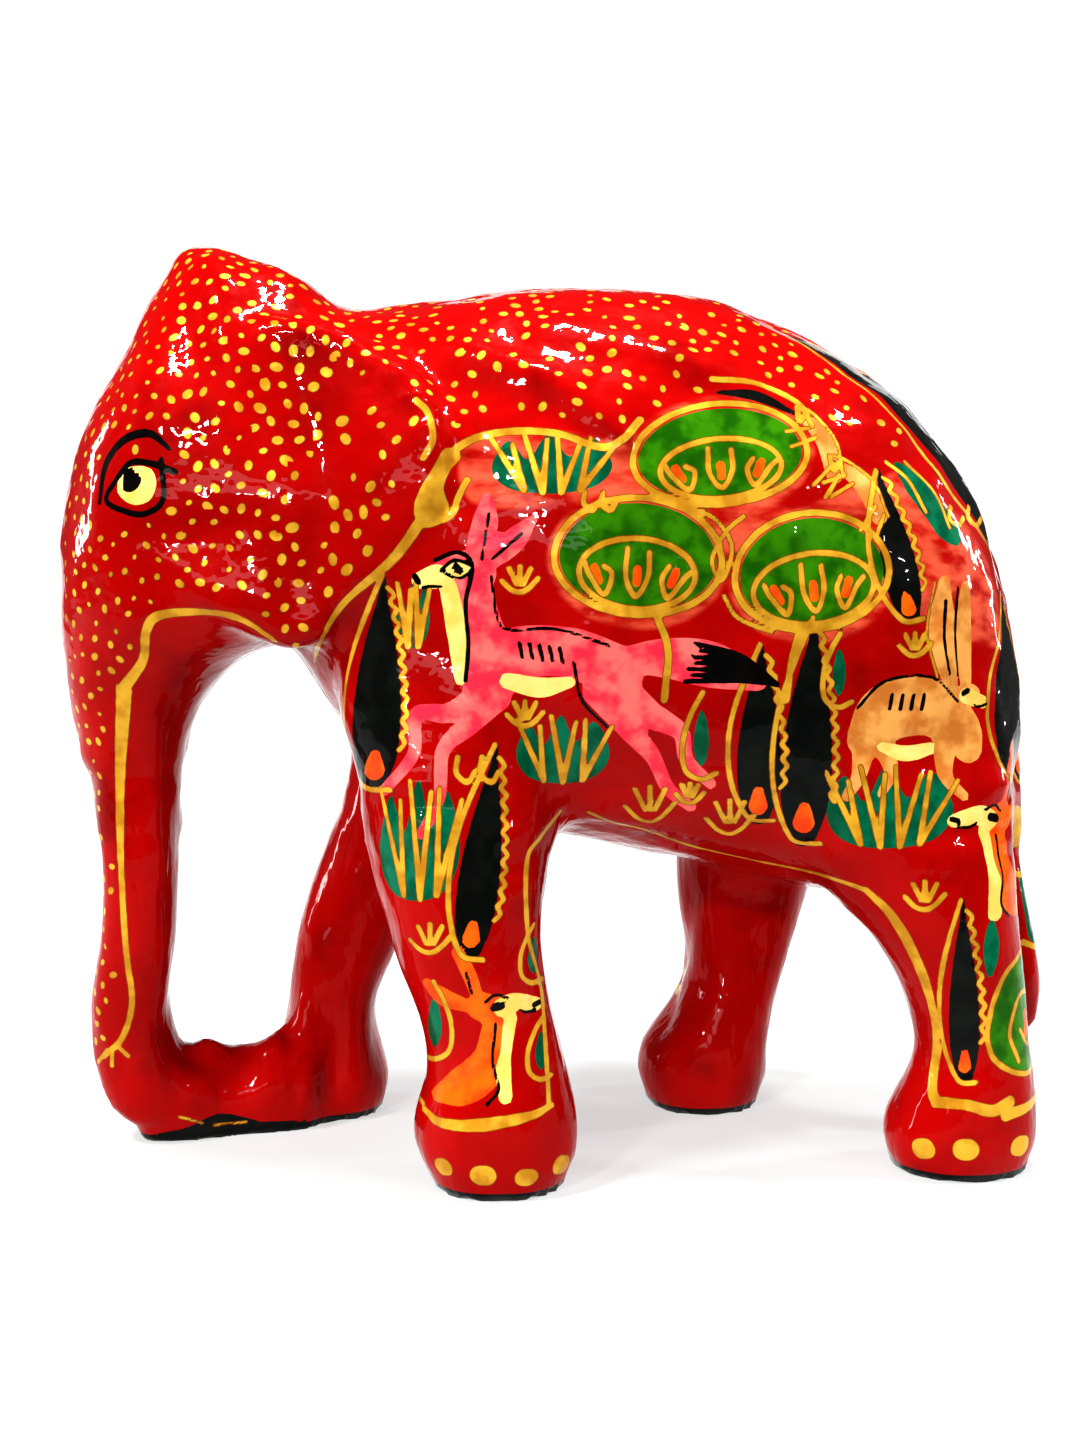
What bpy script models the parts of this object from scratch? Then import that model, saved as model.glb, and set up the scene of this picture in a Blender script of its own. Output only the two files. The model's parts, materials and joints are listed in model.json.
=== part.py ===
"""A small papier-mache elephant, walking, with its trunk curled back along the ground to its right forefoot.

The real one is a single hollow shell moulded in one piece, so it is one solid here. Lofted masses for the
barrel, the head with its trunk, and the legs are pushed into one another, run together into one skin and
smoothed, as wet pulp is smoothed by hand. The ears and the tail are laid on and smoothed less, so that their
edges stay. Then the figure is cut flat under its feet.

The elephant faces -X, its left side is at -Y, and +Z is up. It is drawn to a canon: the figure is CANON parts
high, every station below is in those parts, and FIGURE_HEIGHT alone sets its real size.
"""

import math

import bmesh
import bpy
from mathutils import Matrix, Vector

FIGURE_HEIGHT = 0.139
CANON = 139.0
PART = FIGURE_HEIGHT / CANON

# The fineness of the skin, in parts of the canon, and how often it is smoothed over
PULP_GRAIN = 1.3
STROKES_ON_MASSES = 16
STROKES_ON_ALL = 8
SMOOTHING_FORCE = 0.5
FACES_KEPT = 9400
RING_POINTS = 32

LACQUER_RED = (0.62, 0.012, 0.012, 1.0)
LACQUER_ROUGHNESS = 0.12


# Shared shaping tools

def between(p0, p1, p2, p3, t):
    """The value at t, 0 to 1, on the smooth curve from p1 to p2, with its neighbours p0 and p3."""
    return 0.5 * (
        2 * p1 + (p2 - p0) * t
        + (2 * p0 - 5 * p1 + 4 * p2 - p3) * t ** 2
        + (3 * p1 - p0 - 3 * p2 + p3) * t ** 3
    )


def superellipse(count, squareness):
    """Points round a unit outline: squareness 2 is a circle, and more than 2 is boxier."""
    points = []
    for i in range(count):
        angle = 2 * math.pi * i / count
        c, s = math.cos(angle), math.sin(angle)
        points.append((
            math.copysign(abs(c) ** (2 / squareness), c),
            math.copysign(abs(s) ** (2 / squareness), s),
        ))
    return points


def loft(bm, rings):
    """Skins a closed tube through rings of points and fans its two ends shut."""
    rows = [[bm.verts.new(point) for point in ring] for ring in rings]
    count = len(rows[0])
    for low, high in zip(rows, rows[1:]):
        for i in range(count):
            j = (i + 1) % count
            bm.faces.new((low[i], low[j], high[j], high[i]))
    for row, flip in ((rows[0], True), (rows[-1], False)):
        hub = bm.verts.new(sum((v.co for v in row), Vector()) / count)
        for i in range(count):
            j = (i + 1) % count
            bm.faces.new((row[j], row[i], hub) if flip else (row[i], row[j], hub))


def blend(stations, at):
    """Reads a table of stations at any place along its first column, on a smooth curve."""
    last = len(stations) - 1
    for i in range(last):
        a, b = stations[i], stations[i + 1]
        if (at - a[0]) * (at - b[0]) <= 0:
            break
    before, after = stations[max(i - 1, 0)], stations[min(i + 2, last)]
    t = (at - a[0]) / (b[0] - a[0])
    return [between(before[k], a[k], b[k], after[k], t) for k in range(len(a))]


def steps(first, last, count):
    return [first + (last - first) * i / (count - 1) for i in range(count)]


def blend_along(points, count):
    """A path of many points through a few, on a smooth curve. Sizes at a point are read with it."""
    numbered = [(i, *point) for i, point in enumerate(points)]
    return [tuple(blend(numbered, at)[1:]) for at in steps(0, len(points) - 1, count)]


def slab_rings(stations, count, squareness):
    """Level rings, one over the other. A station is height, front, back, left, right."""
    outline = superellipse(RING_POINTS, squareness)
    rings = []
    for height in steps(stations[0][0], stations[-1][0], count):
        z, front, back, left, right = blend(stations, height)
        middle_x, middle_y = (front + back) / 2, (left + right) / 2
        half_x, half_y = (back - front) / 2, (right - left) / 2
        rings.append([(middle_x + half_x * u, middle_y + half_y * v, z) for u, v in outline])
    return rings


def tube_rings(path, squareness):
    """Rings square to a path. A path point is x, y, z, half thickness, half width."""
    outline = superellipse(RING_POINTS, squareness)
    rings = []
    for i, point in enumerate(path):
        here = Vector(point[:3])
        ahead = Vector(path[min(i + 1, len(path) - 1)][:3])
        behind = Vector(path[max(i - 1, 0)][:3])
        along = (ahead - behind).normalized()
        thick = along.cross(Vector((0, 1, 0))).normalized()
        wide = thick.cross(along)
        rings.append([here + thick * (point[3] * u) + wide * (point[4] * v) for u, v in outline])
    return rings


# The barrel of the body. A station is x, top, bottom, half width.
BARREL = (
    (-42.0, 112.0, 84.0, 9.0),
    (-38.0, 124.0, 74.0, 18.0),
    (-31.0, 130.0, 64.0, 25.5),
    (-22.0, 130.8, 57.0, 30.0),
    (-10.0, 132.6, 52.0, 33.0),
    (2.0, 133.6, 48.6, 34.4),
    (14.0, 133.2, 46.2, 34.8),
    (26.0, 130.8, 43.2, 34.8),
    (37.0, 126.4, 40.7, 34.2),
    (47.0, 120.8, 39.4, 32.8),
    (56.0, 113.4, 39.2, 30.0),
    (63.5, 102.4, 41.0, 25.2),
    (69.0, 87.0, 46.0, 17.5),
    (72.0, 76.0, 55.0, 9.0),
)
BARREL_SQUARENESS = 2.35
BARREL_RINGS = 40


def barrel(bm):
    outline = superellipse(RING_POINTS, BARREL_SQUARENESS)
    rings = []
    for at in steps(BARREL[0][0], BARREL[-1][0], BARREL_RINGS):
        x, top, bottom, half = blend(BARREL, at)
        middle, half_height = (top + bottom) / 2, (top - bottom) / 2
        rings.append([(x, half * u, middle + half_height * v) for u, v in outline])
    loft(bm, rings)


# Head and trunk as level slices. A station is height, front, back, left, right.
HEAD = (
    (139.6, -57.0, -51.5, -3.5, 3.5),
    (137.4, -58.8, -47.2, -9.0, 9.0),
    (133.0, -60.4, -36.5, -14.5, 14.5),
    (127.0, -63.6, -30.5, -18.5, 18.5),
    (120.0, -67.2, -28.0, -21.5, 21.5),
    (112.0, -71.6, -27.0, -23.5, 23.5),
    (104.0, -74.0, -27.0, -24.5, 24.5),
    (96.0, -75.2, -28.0, -24.5, 24.5),
    (88.0, -75.6, -31.0, -23.0, 23.0),
    (82.0, -75.7, -37.0, -20.5, 20.5),
    (77.0, -75.6, -48.0, -16.5, 16.5),
    (72.0, -75.2, -53.5, -13.5, 13.5),
    (66.0, -74.2, -56.4, -11.5, 11.5),
    (60.0, -72.5, -57.9, -10.4, 10.6),
    (54.0, -71.4, -58.5, -9.6, 10.2),
    (45.0, -70.8, -58.9, -8.8, 10.0),
    (32.0, -71.8, -59.6, -7.2, 10.4),
    (22.0, -73.4, -60.8, -5.6, 11.4),
    (14.0, -73.4, -59.6, -4.0, 12.6),
    (8.0, -71.6, -57.6, -2.2, 13.4),
    (3.0, -67.8, -55.5, 0.2, 13.6),
    (-2.0, -61.0, -55.0, 3.5, 11.0),
)
HEAD_SQUARENESS = 2.3
HEAD_RINGS = 70

# The trunk's end, curled back along the ground. A point is x, y, z, half thickness, half width.
CURL = (
    (-66.0, 6.0, 6.6, 7.0, 7.4),
    (-59.0, 7.5, 5.6, 7.4, 7.6),
    (-53.0, 8.8, 6.0, 8.3, 6.8),
    (-47.0, 10.8, 5.2, 7.7, 7.6),
    (-40.0, 13.0, 4.8, 8.6, 8.2),
)
CURL_SQUARENESS = 2.3
CURL_RINGS = 17

# The lower lip, a wedge between the cheeks behind the trunk, as slices of the same kind as the head's
LOWER_LIP = (
    (86.0, -62.0, -40.0, -9.0, 9.0),
    (80.0, -62.0, -47.5, -8.5, 8.5),
    (75.0, -61.0, -51.8, -7.0, 7.0),
    (70.0, -60.0, -54.6, -4.5, 4.5),
)
LIP_SQUARENESS = 2.2
LIP_RINGS = 10


def head_and_trunk(bm):
    loft(bm, slab_rings(HEAD, HEAD_RINGS, HEAD_SQUARENESS))
    loft(bm, slab_rings(LOWER_LIP, LIP_RINGS, LIP_SQUARENESS))
    loft(bm, tube_rings(blend_along(CURL, CURL_RINGS), CURL_SQUARENESS))


# One ear seen from the side, as x and z round its edge, from the front of its top
EAR_EDGE = (
    (-44.5, 124.2),
    (-37.0, 125.3),
    (-29.5, 122.0),
    (-22.8, 117.0),
    (-18.8, 109.0),
    (-19.2, 101.0),
    (-23.5, 93.8),
    (-31.0, 86.8),
    (-36.5, 79.8),
    (-46.0, 81.0),
    (-55.0, 90.0),
    (-55.0, 108.0),
)
EAR_EDGE_POINTS = 48

# How far the ear stands out from the middle of the head, at its front and back edges. Its top leans inwards.
EAR_OUT_FRONT, EAR_OUT_BACK = 23.4, 33.8
EAR_FLARE = 2.0
EAR_LEAN = 0.13
EAR_LEANS_FROM = 104.0
EAR_ROOT = 15.0


def ear(bm, side):
    """A flap in relief: it leaves the cheek at its front and stands off the neck at its back edge."""
    edge = blend_along(EAR_EDGE + EAR_EDGE[:1], EAR_EDGE_POINTS + 1)[:-1]
    front = min(x for x, z in edge)
    back = max(x for x, z in edge)
    outer = []
    for x, z in edge:
        share = (x - front) / (back - front)
        out = EAR_OUT_FRONT + (EAR_OUT_BACK - EAR_OUT_FRONT) * share ** EAR_FLARE
        out -= EAR_LEAN * max(0.0, z - EAR_LEANS_FROM)
        outer.append((x, side * out, z))
    root = [(x, side * EAR_ROOT, z) for x, z in edge]
    loft(bm, [outer, root])


# Legs as level slices. A station is height, front, back, left, right.
LEFT_FORELEG = (
    (92.0, -30.0, -6.0, -24.0, -8.0),
    (80.0, -33.0, -2.0, -28.4, -8.0),
    (71.0, -33.6, -0.4, -30.8, -8.0),
    (62.0, -31.4, -0.2, -32.2, -7.5),
    (51.0, -29.6, -1.9, -33.0, -8.0),
    (39.0, -26.9, -4.1, -32.7, -9.0),
    (33.0, -25.2, -3.6, -32.2, -9.4),
    (27.0, -22.7, -2.4, -31.7, -9.8),
    (21.0, -20.9, -0.6, -31.4, -10.0),
    (15.0, -21.2, 0.8, -32.0, -9.6),
    (10.0, -23.2, 1.9, -32.8, -9.0),
    (5.0, -23.0, 1.9, -32.9, -8.8),
    (1.5, -21.0, 0.2, -31.8, -9.8),
    (-2.0, -16.5, -4.0, -28.0, -13.5),
)
LEFT_HINDLEG = (
    (94.0, 36.0, 58.0, -20.0, -8.0),
    (80.0, 31.0, 63.5, -27.0, -8.5),
    (66.0, 28.0, 66.5, -30.6, -8.5),
    (57.0, 29.5, 67.0, -31.4, -8.5),
    (49.0, 34.6, 67.4, -31.6, -8.5),
    (41.0, 41.0, 67.8, -31.4, -8.8),
    (35.0, 46.4, 68.3, -31.0, -9.0),
    (29.0, 50.0, 69.2, -30.6, -9.2),
    (23.0, 52.3, 70.0, -30.0, -9.3),
    (17.0, 53.4, 70.8, -30.0, -9.0),
    (11.0, 50.8, 71.7, -30.4, -8.4),
    (5.0, 47.8, 72.0, -30.6, -8.1),
    (1.5, 48.9, 71.0, -29.6, -8.8),
    (-2.0, 53.0, 67.0, -26.5, -12.0),
)
RIGHT_HINDLEG = (
    (88.0, 26.0, 50.0, 8.0, 24.0),
    (72.0, 22.5, 52.0, 8.0, 29.5),
    (58.0, 22.4, 49.5, 8.0, 31.5),
    (46.0, 22.4, 47.5, 7.8, 30.4),
    (37.0, 22.6, 45.3, 8.0, 29.8),
    (30.0, 23.8, 43.4, 7.8, 29.3),
    (24.0, 24.4, 41.4, 7.6, 29.0),
    (17.0, 22.4, 39.2, 7.0, 29.3),
    (10.0, 16.2, 38.0, 6.0, 29.9),
    (5.0, 15.4, 38.0, 5.8, 30.0),
    (1.5, 16.6, 37.0, 6.8, 29.2),
    (-2.0, 20.5, 33.5, 10.5, 26.0),
)
RIGHT_FORELEG = (
    (88.0, -29.0, -5.0, 8.0, 24.0),
    (76.0, -32.0, -3.0, 8.0, 29.5),
    (62.0, -32.4, -7.0, 8.3, 31.5),
    (52.0, -34.0, -12.0, 8.3, 30.4),
    (45.0, -36.8, -15.2, 8.6, 29.8),
    (38.5, -39.4, -18.7, 8.8, 29.3),
    (32.0, -41.8, -22.1, 8.8, 28.9),
    (25.0, -42.9, -25.4, 8.8, 28.7),
    (18.0, -43.5, -28.2, 8.6, 28.9),
    (11.0, -44.6, -27.2, 8.2, 29.3),
    (5.0, -45.0, -25.6, 8.0, 29.6),
    (1.5, -43.8, -26.8, 9.0, 28.6),
    (-2.0, -39.5, -31.0, 13.0, 24.5),
)
LEG_SQUARENESS = 2.25
LEG_RINGS = 34


def legs(bm):
    for stations in (LEFT_FORELEG, LEFT_HINDLEG, RIGHT_HINDLEG, RIGHT_FORELEG):
        loft(bm, slab_rings(stations, LEG_RINGS, LEG_SQUARENESS))


# The tail, laid down the rump, with its tip against the left hind leg.
# A point is x, y, z, half thickness, half width.
TAIL = (
    (55.0, 0.0, 107.5, 3.0, 4.0),
    (63.0, 0.0, 97.0, 4.6, 5.6),
    (67.9, 0.0, 85.0, 4.6, 5.8),
    (70.6, -0.6, 72.0, 4.3, 5.6),
    (70.8, -2.0, 58.0, 4.0, 5.2),
    (70.4, -4.2, 45.0, 3.8, 4.8),
    (71.4, -6.4, 33.0, 4.2, 4.8),
    (73.2, -7.6, 24.0, 3.8, 4.4),
    (73.0, -8.0, 17.5, 2.4, 2.8),
)
TAIL_SQUARENESS = 2.1
TAIL_RINGS = 40


def tail(bm):
    loft(bm, tube_rings(blend_along(TAIL, TAIL_RINGS), TAIL_SQUARENESS))


# From masses to one skin

def run_together(bm, strokes, faces_kept=None):
    """Runs closed masses into one skin, smooths it and, where asked, thins its faces."""
    rough = bpy.data.meshes.new("rough")
    bm.to_mesh(rough)
    dummy = bpy.data.objects.new("rough", rough)
    bpy.context.scene.collection.objects.link(dummy)
    pulp = dummy.modifiers.new("pulp", "REMESH")
    pulp.mode = "VOXEL"
    pulp.voxel_size = PULP_GRAIN
    smooth = dummy.modifiers.new("smooth", "SMOOTH")
    smooth.factor = SMOOTHING_FORCE
    smooth.iterations = strokes
    graph = bpy.context.evaluated_depsgraph_get()
    graph.update()
    if faces_kept:
        full = sum(len(p.vertices) - 2 for p in dummy.evaluated_get(graph).data.polygons)
        thin = dummy.modifiers.new("thin", "DECIMATE")
        thin.ratio = min(1.0, faces_kept / full)
        graph.update()
    skin = bpy.data.meshes.new_from_object(dummy.evaluated_get(graph))
    bpy.data.objects.remove(dummy)
    bpy.data.meshes.remove(rough)
    return skin


def cut_soles(skin):
    """Cuts the skin flat where it stands and closes each sole with one face."""
    bm = bmesh.new()
    bm.from_mesh(skin)
    geometry = bm.verts[:] + bm.edges[:] + bm.faces[:]
    cut = bmesh.ops.bisect_plane(
        bm, geom=geometry, dist=1e-4, plane_co=(0, 0, 0), plane_no=(0, 0, 1), clear_inner=True
    )
    rims = [g for g in cut["geom_cut"] if isinstance(g, bmesh.types.BMEdge) and g.is_boundary]
    bmesh.ops.holes_fill(bm, edges=rims, sides=0)
    bmesh.ops.triangulate(bm, faces=[f for f in bm.faces if len(f.verts) > 3])
    bmesh.ops.recalc_face_normals(bm, faces=bm.faces[:])
    bm.to_mesh(skin)
    bm.free()


def stand_on_origin(skin):
    """Brings the skin to its real size, with the middle of its box over the origin and its soles at zero."""
    xs = [v.co.x for v in skin.vertices]
    ys = [v.co.y for v in skin.vertices]
    low = min(v.co.z for v in skin.vertices)
    middle = Vector(((min(xs) + max(xs)) / 2, (min(ys) + max(ys)) / 2, low))
    skin.transform(Matrix.Scale(PART, 4) @ Matrix.Translation(-middle))


def lacquer():
    material = bpy.data.materials.new("red_lacquer")
    material.use_nodes = True
    shader = material.node_tree.nodes["Principled BSDF"]
    shader.inputs["Base Color"].default_value = LACQUER_RED
    shader.inputs["Roughness"].default_value = LACQUER_ROUGHNESS
    shader.inputs["Metallic"].default_value = 0.0
    return material


def moulded(makers):
    """One bmesh with the masses that the makers add, all facing out."""
    bm = bmesh.new()
    for maker in makers:
        maker(bm)
    bmesh.ops.recalc_face_normals(bm, faces=bm.faces[:])
    return bm


def elephant():
    masses = moulded([barrel, head_and_trunk, legs])
    body = run_together(masses, STROKES_ON_MASSES)
    masses.free()

    laid_on = moulded([
        lambda bm: bm.from_mesh(body),
        lambda bm: ear(bm, side=-1),
        lambda bm: ear(bm, side=1),
        tail,
    ])
    skin = run_together(laid_on, STROKES_ON_ALL, FACES_KEPT)
    laid_on.free()
    bpy.data.meshes.remove(body)

    cut_soles(skin)
    stand_on_origin(skin)
    skin.name = "elephant"
    skin.materials.clear()
    skin.materials.append(lacquer())
    skin.shade_smooth()
    figure = bpy.data.objects.new("elephant", skin)
    bpy.context.scene.collection.objects.link(figure)
    return figure


for leftover in list(bpy.data.objects):
    bpy.data.objects.remove(leftover)
elephant()
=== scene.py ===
# %% [markdown]
# # A lacquered papier-mache elephant
# This notebook dresses one solid, a small elephant of moulded paper pulp, in its painted skin. The real
# figure is pressed by hand round a mould, coated with red lacquer, painted with a fine brush in poster
# colours and gold, and varnished until it shines. So there is one piece here, and nearly all of the work
# is a surface: soft lumps in the form, then layers of paint, and then one thick clear coat over all.
#
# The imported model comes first. It fixes the size, the place and the pose of everything below.

# %% Load the frame
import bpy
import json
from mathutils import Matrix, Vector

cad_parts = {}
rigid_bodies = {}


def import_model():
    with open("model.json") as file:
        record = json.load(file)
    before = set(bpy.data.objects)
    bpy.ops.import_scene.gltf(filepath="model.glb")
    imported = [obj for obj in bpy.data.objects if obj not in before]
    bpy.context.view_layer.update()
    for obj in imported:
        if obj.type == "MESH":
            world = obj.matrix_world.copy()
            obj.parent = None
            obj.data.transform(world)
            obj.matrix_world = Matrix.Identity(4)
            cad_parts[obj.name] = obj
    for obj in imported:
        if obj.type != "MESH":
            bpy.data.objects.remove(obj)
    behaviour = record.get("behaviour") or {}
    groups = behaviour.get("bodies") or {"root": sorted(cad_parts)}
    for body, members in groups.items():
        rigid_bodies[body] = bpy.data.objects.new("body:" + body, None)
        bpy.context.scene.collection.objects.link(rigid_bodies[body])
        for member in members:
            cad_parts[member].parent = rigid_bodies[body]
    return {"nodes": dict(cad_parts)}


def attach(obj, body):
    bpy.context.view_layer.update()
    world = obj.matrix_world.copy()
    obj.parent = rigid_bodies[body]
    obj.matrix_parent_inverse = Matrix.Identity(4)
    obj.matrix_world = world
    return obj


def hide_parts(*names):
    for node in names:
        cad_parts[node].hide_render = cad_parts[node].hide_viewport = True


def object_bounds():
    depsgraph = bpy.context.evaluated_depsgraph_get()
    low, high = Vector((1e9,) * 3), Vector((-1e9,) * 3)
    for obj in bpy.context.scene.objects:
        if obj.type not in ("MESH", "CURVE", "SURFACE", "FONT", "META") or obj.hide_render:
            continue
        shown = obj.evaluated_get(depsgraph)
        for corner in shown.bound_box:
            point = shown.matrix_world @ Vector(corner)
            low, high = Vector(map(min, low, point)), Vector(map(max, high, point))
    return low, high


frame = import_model()
cad_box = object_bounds()
print("solid box in metres:", [[round(c, 4) for c in corner] for corner in cad_box])

# %% Blender's modules and the units
import json
import math

import bmesh
import bpy
import numpy as np
from mathutils import Vector, noise
from mathutils.bvhtree import BVHTree
from mathutils.kdtree import KDTree

MM = 0.001
SEED = 7
scene = bpy.context.scene
print("Blender", bpy.app.version_string, "with random seed", SEED)

# %% [markdown]
# ## The camera
# The camera comes first because the painter's picture is laid out from where it stands. A long lens close
# to a small object gives the slight perspective of the photograph. Its lens is worked out from a focal
# length in pixels, so that a pixel of the 1086 by 1448 picture can be turned into a line of sight.

# %% Place the camera
IMAGE_WIDTH = 1086
IMAGE_HEIGHT = 1448
FOCAL_PIXELS = 1800
SENSOR_MM = 36
AIM = Vector((-2.5, 0, 66.2)) * MM
AZIMUTH = math.radians(-5)
ELEVATION = math.radians(4.6)
CAMERA_DISTANCE = 284 * MM

level = math.cos(ELEVATION)
camera_back = Vector((math.sin(AZIMUTH) * level, -math.cos(AZIMUTH) * level, math.sin(ELEVATION)))
camera = bpy.data.objects.new("camera", bpy.data.cameras.new("camera"))
camera.data.sensor_width = SENSOR_MM
camera.data.lens = SENSOR_MM * FOCAL_PIXELS / IMAGE_HEIGHT
camera.data.clip_start = 10 * MM
camera.location = AIM + camera_back * CAMERA_DISTANCE
camera.rotation_euler = camera_back.to_track_quat("Z", "Y").to_euler()
scene.collection.objects.link(camera)
scene.camera = camera
print("lens", round(camera.data.lens, 2), "mm at", [round(c, 4) for c in camera.location])

# %% [markdown]
# ## The moulded body
# The solid is a mesh of flat faces. The real skin is smooth, but it is nowhere quite even: wet pulp keeps
# the marks of fingers. One way would be to sculpt by hand, but here the form is rebuilt with a voxel
# remesh, which gives even squares, and smoothed with a filter that doesn't shrink it. Then each point is
# moved a little along its normal by soft noise, and by a short list of named dents and ridges.

# %% Copy the solid and rebuild it in even squares
SQUARE = 1.66 * MM
WELD = 0.01 * MM


def add_object(name, mesh):
    obj = bpy.data.objects.new(name, mesh)
    scene.collection.objects.link(obj)
    return obj


def evaluated_copy(obj, name):
    """The object's mesh with its modifiers applied, as a plain mesh."""
    graph = bpy.context.evaluated_depsgraph_get()
    mesh = bpy.data.meshes.new_from_object(obj.evaluated_get(graph))
    mesh.name = name
    return mesh


merged = bmesh.new()
merged.from_mesh(frame["nodes"]["elephant"].data)
bmesh.ops.remove_doubles(merged, verts=merged.verts, dist=WELD)
rough_mesh = bpy.data.meshes.new("rough")
merged.to_mesh(rough_mesh)
merged.free()
rough = add_object("rough", rough_mesh)
remesh = rough.modifiers.new("even squares", "REMESH")
remesh.mode = "VOXEL"
remesh.voxel_size = SQUARE
even_mesh = evaluated_copy(rough, "even")
bpy.data.objects.remove(rough)
print("even mesh:", len(even_mesh.polygons), "faces")

# %% Smooth it without shrinking
SMOOTH_ROUNDS = 6
SHRINK = 0.5
SWELL = -0.53
SOLE_HEIGHT = 0.7 * MM
SOLE_BLEND = 2.4 * MM


def arrays_of(mesh):
    """A mesh's points and edges as arrays."""
    points = np.zeros(len(mesh.vertices) * 3)
    edges = np.zeros(len(mesh.edges) * 2, int)
    mesh.vertices.foreach_get("co", points)
    mesh.edges.foreach_get("vertices", edges)
    return points.reshape(-1, 3), edges.reshape(-1, 2)


def normals_of(mesh):
    normals = np.zeros(len(mesh.vertices) * 3)
    mesh.vertex_normals.foreach_get("vector", normals)
    return normals.reshape(-1, 3)


def soften(points, edges, rounds):
    """Moves each point towards its neighbours' middle and back again, which takes out steps but no size."""
    ends = np.concatenate([edges[:, 0], edges[:, 1]])
    others = np.concatenate([edges[:, 1], edges[:, 0]])
    count = np.bincount(ends, minlength=len(points))[:, None]
    for _ in range(rounds):
        for share in (SHRINK, SWELL):
            total = np.stack([np.bincount(ends, points[others, i], len(points)) for i in range(3)], 1)
            points = points + share * (total / count - points)
    return points


def flat_soles(points):
    """Puts what is nearly on the ground flat on it, and eases that in above."""
    points = points.copy()
    points[:, 2] = np.interp(points[:, 2], [0, SOLE_HEIGHT, SOLE_BLEND, 1], [0, 0, SOLE_BLEND, 1])
    return points


points, edges = arrays_of(even_mesh)
points = flat_soles(soften(points, edges, SMOOTH_ROUNDS))
even_mesh.vertices.foreach_set("co", points.ravel())
even_mesh.update()
print("smoothed box in mm:", (points.min(0) / MM).round(1), (points.max(0) / MM).round(1))

# %% [markdown]
# ## Looking at the body as the painter does
# Every brush stroke below is placed from one of six views: the near side as the camera sees it, the far
# side as its mirror image, the left and right hips, the rump from behind and the back from above. A view
# turns a pixel into a line of sight, which meets the body at one place. So a stroke lies on the surface,
# whatever its shape, and keeps its real width there.

# %% What a view is
class View:
    """A place to look from. Pixels are those of a 1086 by 1448 picture taken there."""

    def __init__(self, eye, back, right, up, sees):
        self.eye, self.back, self.right, self.up = (np.array(v, float) for v in (eye, back, right, up))
        self.sees = sees

    def sight_line(self, pixel):
        across = (pixel[0] - IMAGE_WIDTH / 2) / FOCAL_PIXELS
        down = (pixel[1] - IMAGE_HEIGHT / 2) / FOCAL_PIXELS
        return Vector(-self.back + self.right * across - self.up * down).normalized()

    def project(self, places):
        """Pixels and depths of places in metres."""
        seen = places - self.eye
        depth = -seen @ self.back
        across = IMAGE_WIDTH / 2 + FOCAL_PIXELS * (seen @ self.right) / depth
        down = IMAGE_HEIGHT / 2 - FOCAL_PIXELS * (seen @ self.up) / depth
        return np.stack([across, down], 1), depth


print("a view's picture is", IMAGE_WIDTH, "by", IMAGE_HEIGHT, "pixels")

# %% Turned and mirrored views
camera_right = (-camera_back).cross(Vector((0, 0, 1))).normalized()
camera_up = camera_right.cross(-camera_back)
MIRROR = np.array([1, -1, 1])
SPINE_OVERLAP = 1.5 * MM
TRUNK_BACK = -40 * MM
TRUNK_LEAN = 8 * MM
TRUNK_LEAN_TOP = 48 * MM
TRUNK_LEAN_CURVE = 1.6
TOP_EYE = (0, 0, 420 * MM)
BEHIND_DISTANCE = 330 * MM
HIP_AIM = Vector((30, 0, 66.2)) * MM
RUMP_AIM = Vector((30, 0, 85)) * MM


def off_middle(places):
    """How far places lie to the far side of the figure's middle, which the trunk's end leans across."""
    lean = TRUNK_LEAN * np.clip(1 - places[:, 2] / TRUNK_LEAN_TOP, 0, 1) ** TRUNK_LEAN_CURVE
    return places[:, 1] - np.where(places[:, 0] < TRUNK_BACK, lean, 0)


def turned_view(azimuth, elevation, aim, sees):
    """A view from behind, turned from the left side by so many degrees."""
    turn, rise = math.radians(azimuth), math.radians(elevation)
    back = Vector((math.sin(turn) * math.cos(rise), -math.cos(turn) * math.cos(rise), math.sin(rise)))
    right = (-back).cross(Vector((0, 0, 1))).normalized()
    return View(aim + back * BEHIND_DISTANCE, back, right, right.cross(-back), sees)


def mirrored_view(view, sees):
    return View(view.eye * MIRROR, view.back * MIRROR, view.right * MIRROR, view.up * MIRROR, sees)


print("views from behind stand", round(BEHIND_DISTANCE / MM), "mm off")

# %% The six views
near = View(camera.location, camera_back, camera_right, camera_up,
            lambda p: off_middle(p) < SPINE_OVERLAP)
far = mirrored_view(near, lambda p: off_middle(p) > -SPINE_OVERLAP)
hip = turned_view(52, 4.6, HIP_AIM, lambda p: p[:, 0] > 20 * MM)
far_hip = mirrored_view(hip, lambda p: p[:, 0] > 20 * MM)
rear = turned_view(90, 32, RUMP_AIM, lambda p: p[:, 0] > 0)
top = View(TOP_EYE, (0, 0, 1), (1, 0, 0), (0, 1, 0), lambda p: p[:, 2] > AIM.z)


def tree_of(mesh):
    shape = bmesh.new()
    shape.from_mesh(mesh)
    tree = BVHTree.FromBMesh(shape)
    shape.free()
    return tree


body_tree = tree_of(even_mesh)


def on_body(view, pixel):
    """Where the line of sight through a pixel meets the body, or None."""
    return body_tree.ray_cast(Vector(view.eye), view.sight_line(pixel))[0]


print("the eye's pixel is at", on_body(near, (135, 485)))

# %% [markdown]
# ## Lumps, dents and ridges
# Two sizes of soft noise stand for the pulp's unevenness, and a pattern of cells for the flats that thumbs
# pressed into it. On top of that come the marks that show in the photograph's reflections. Each is a soft
# mound or hollow of a named width and height, along a line.

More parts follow.
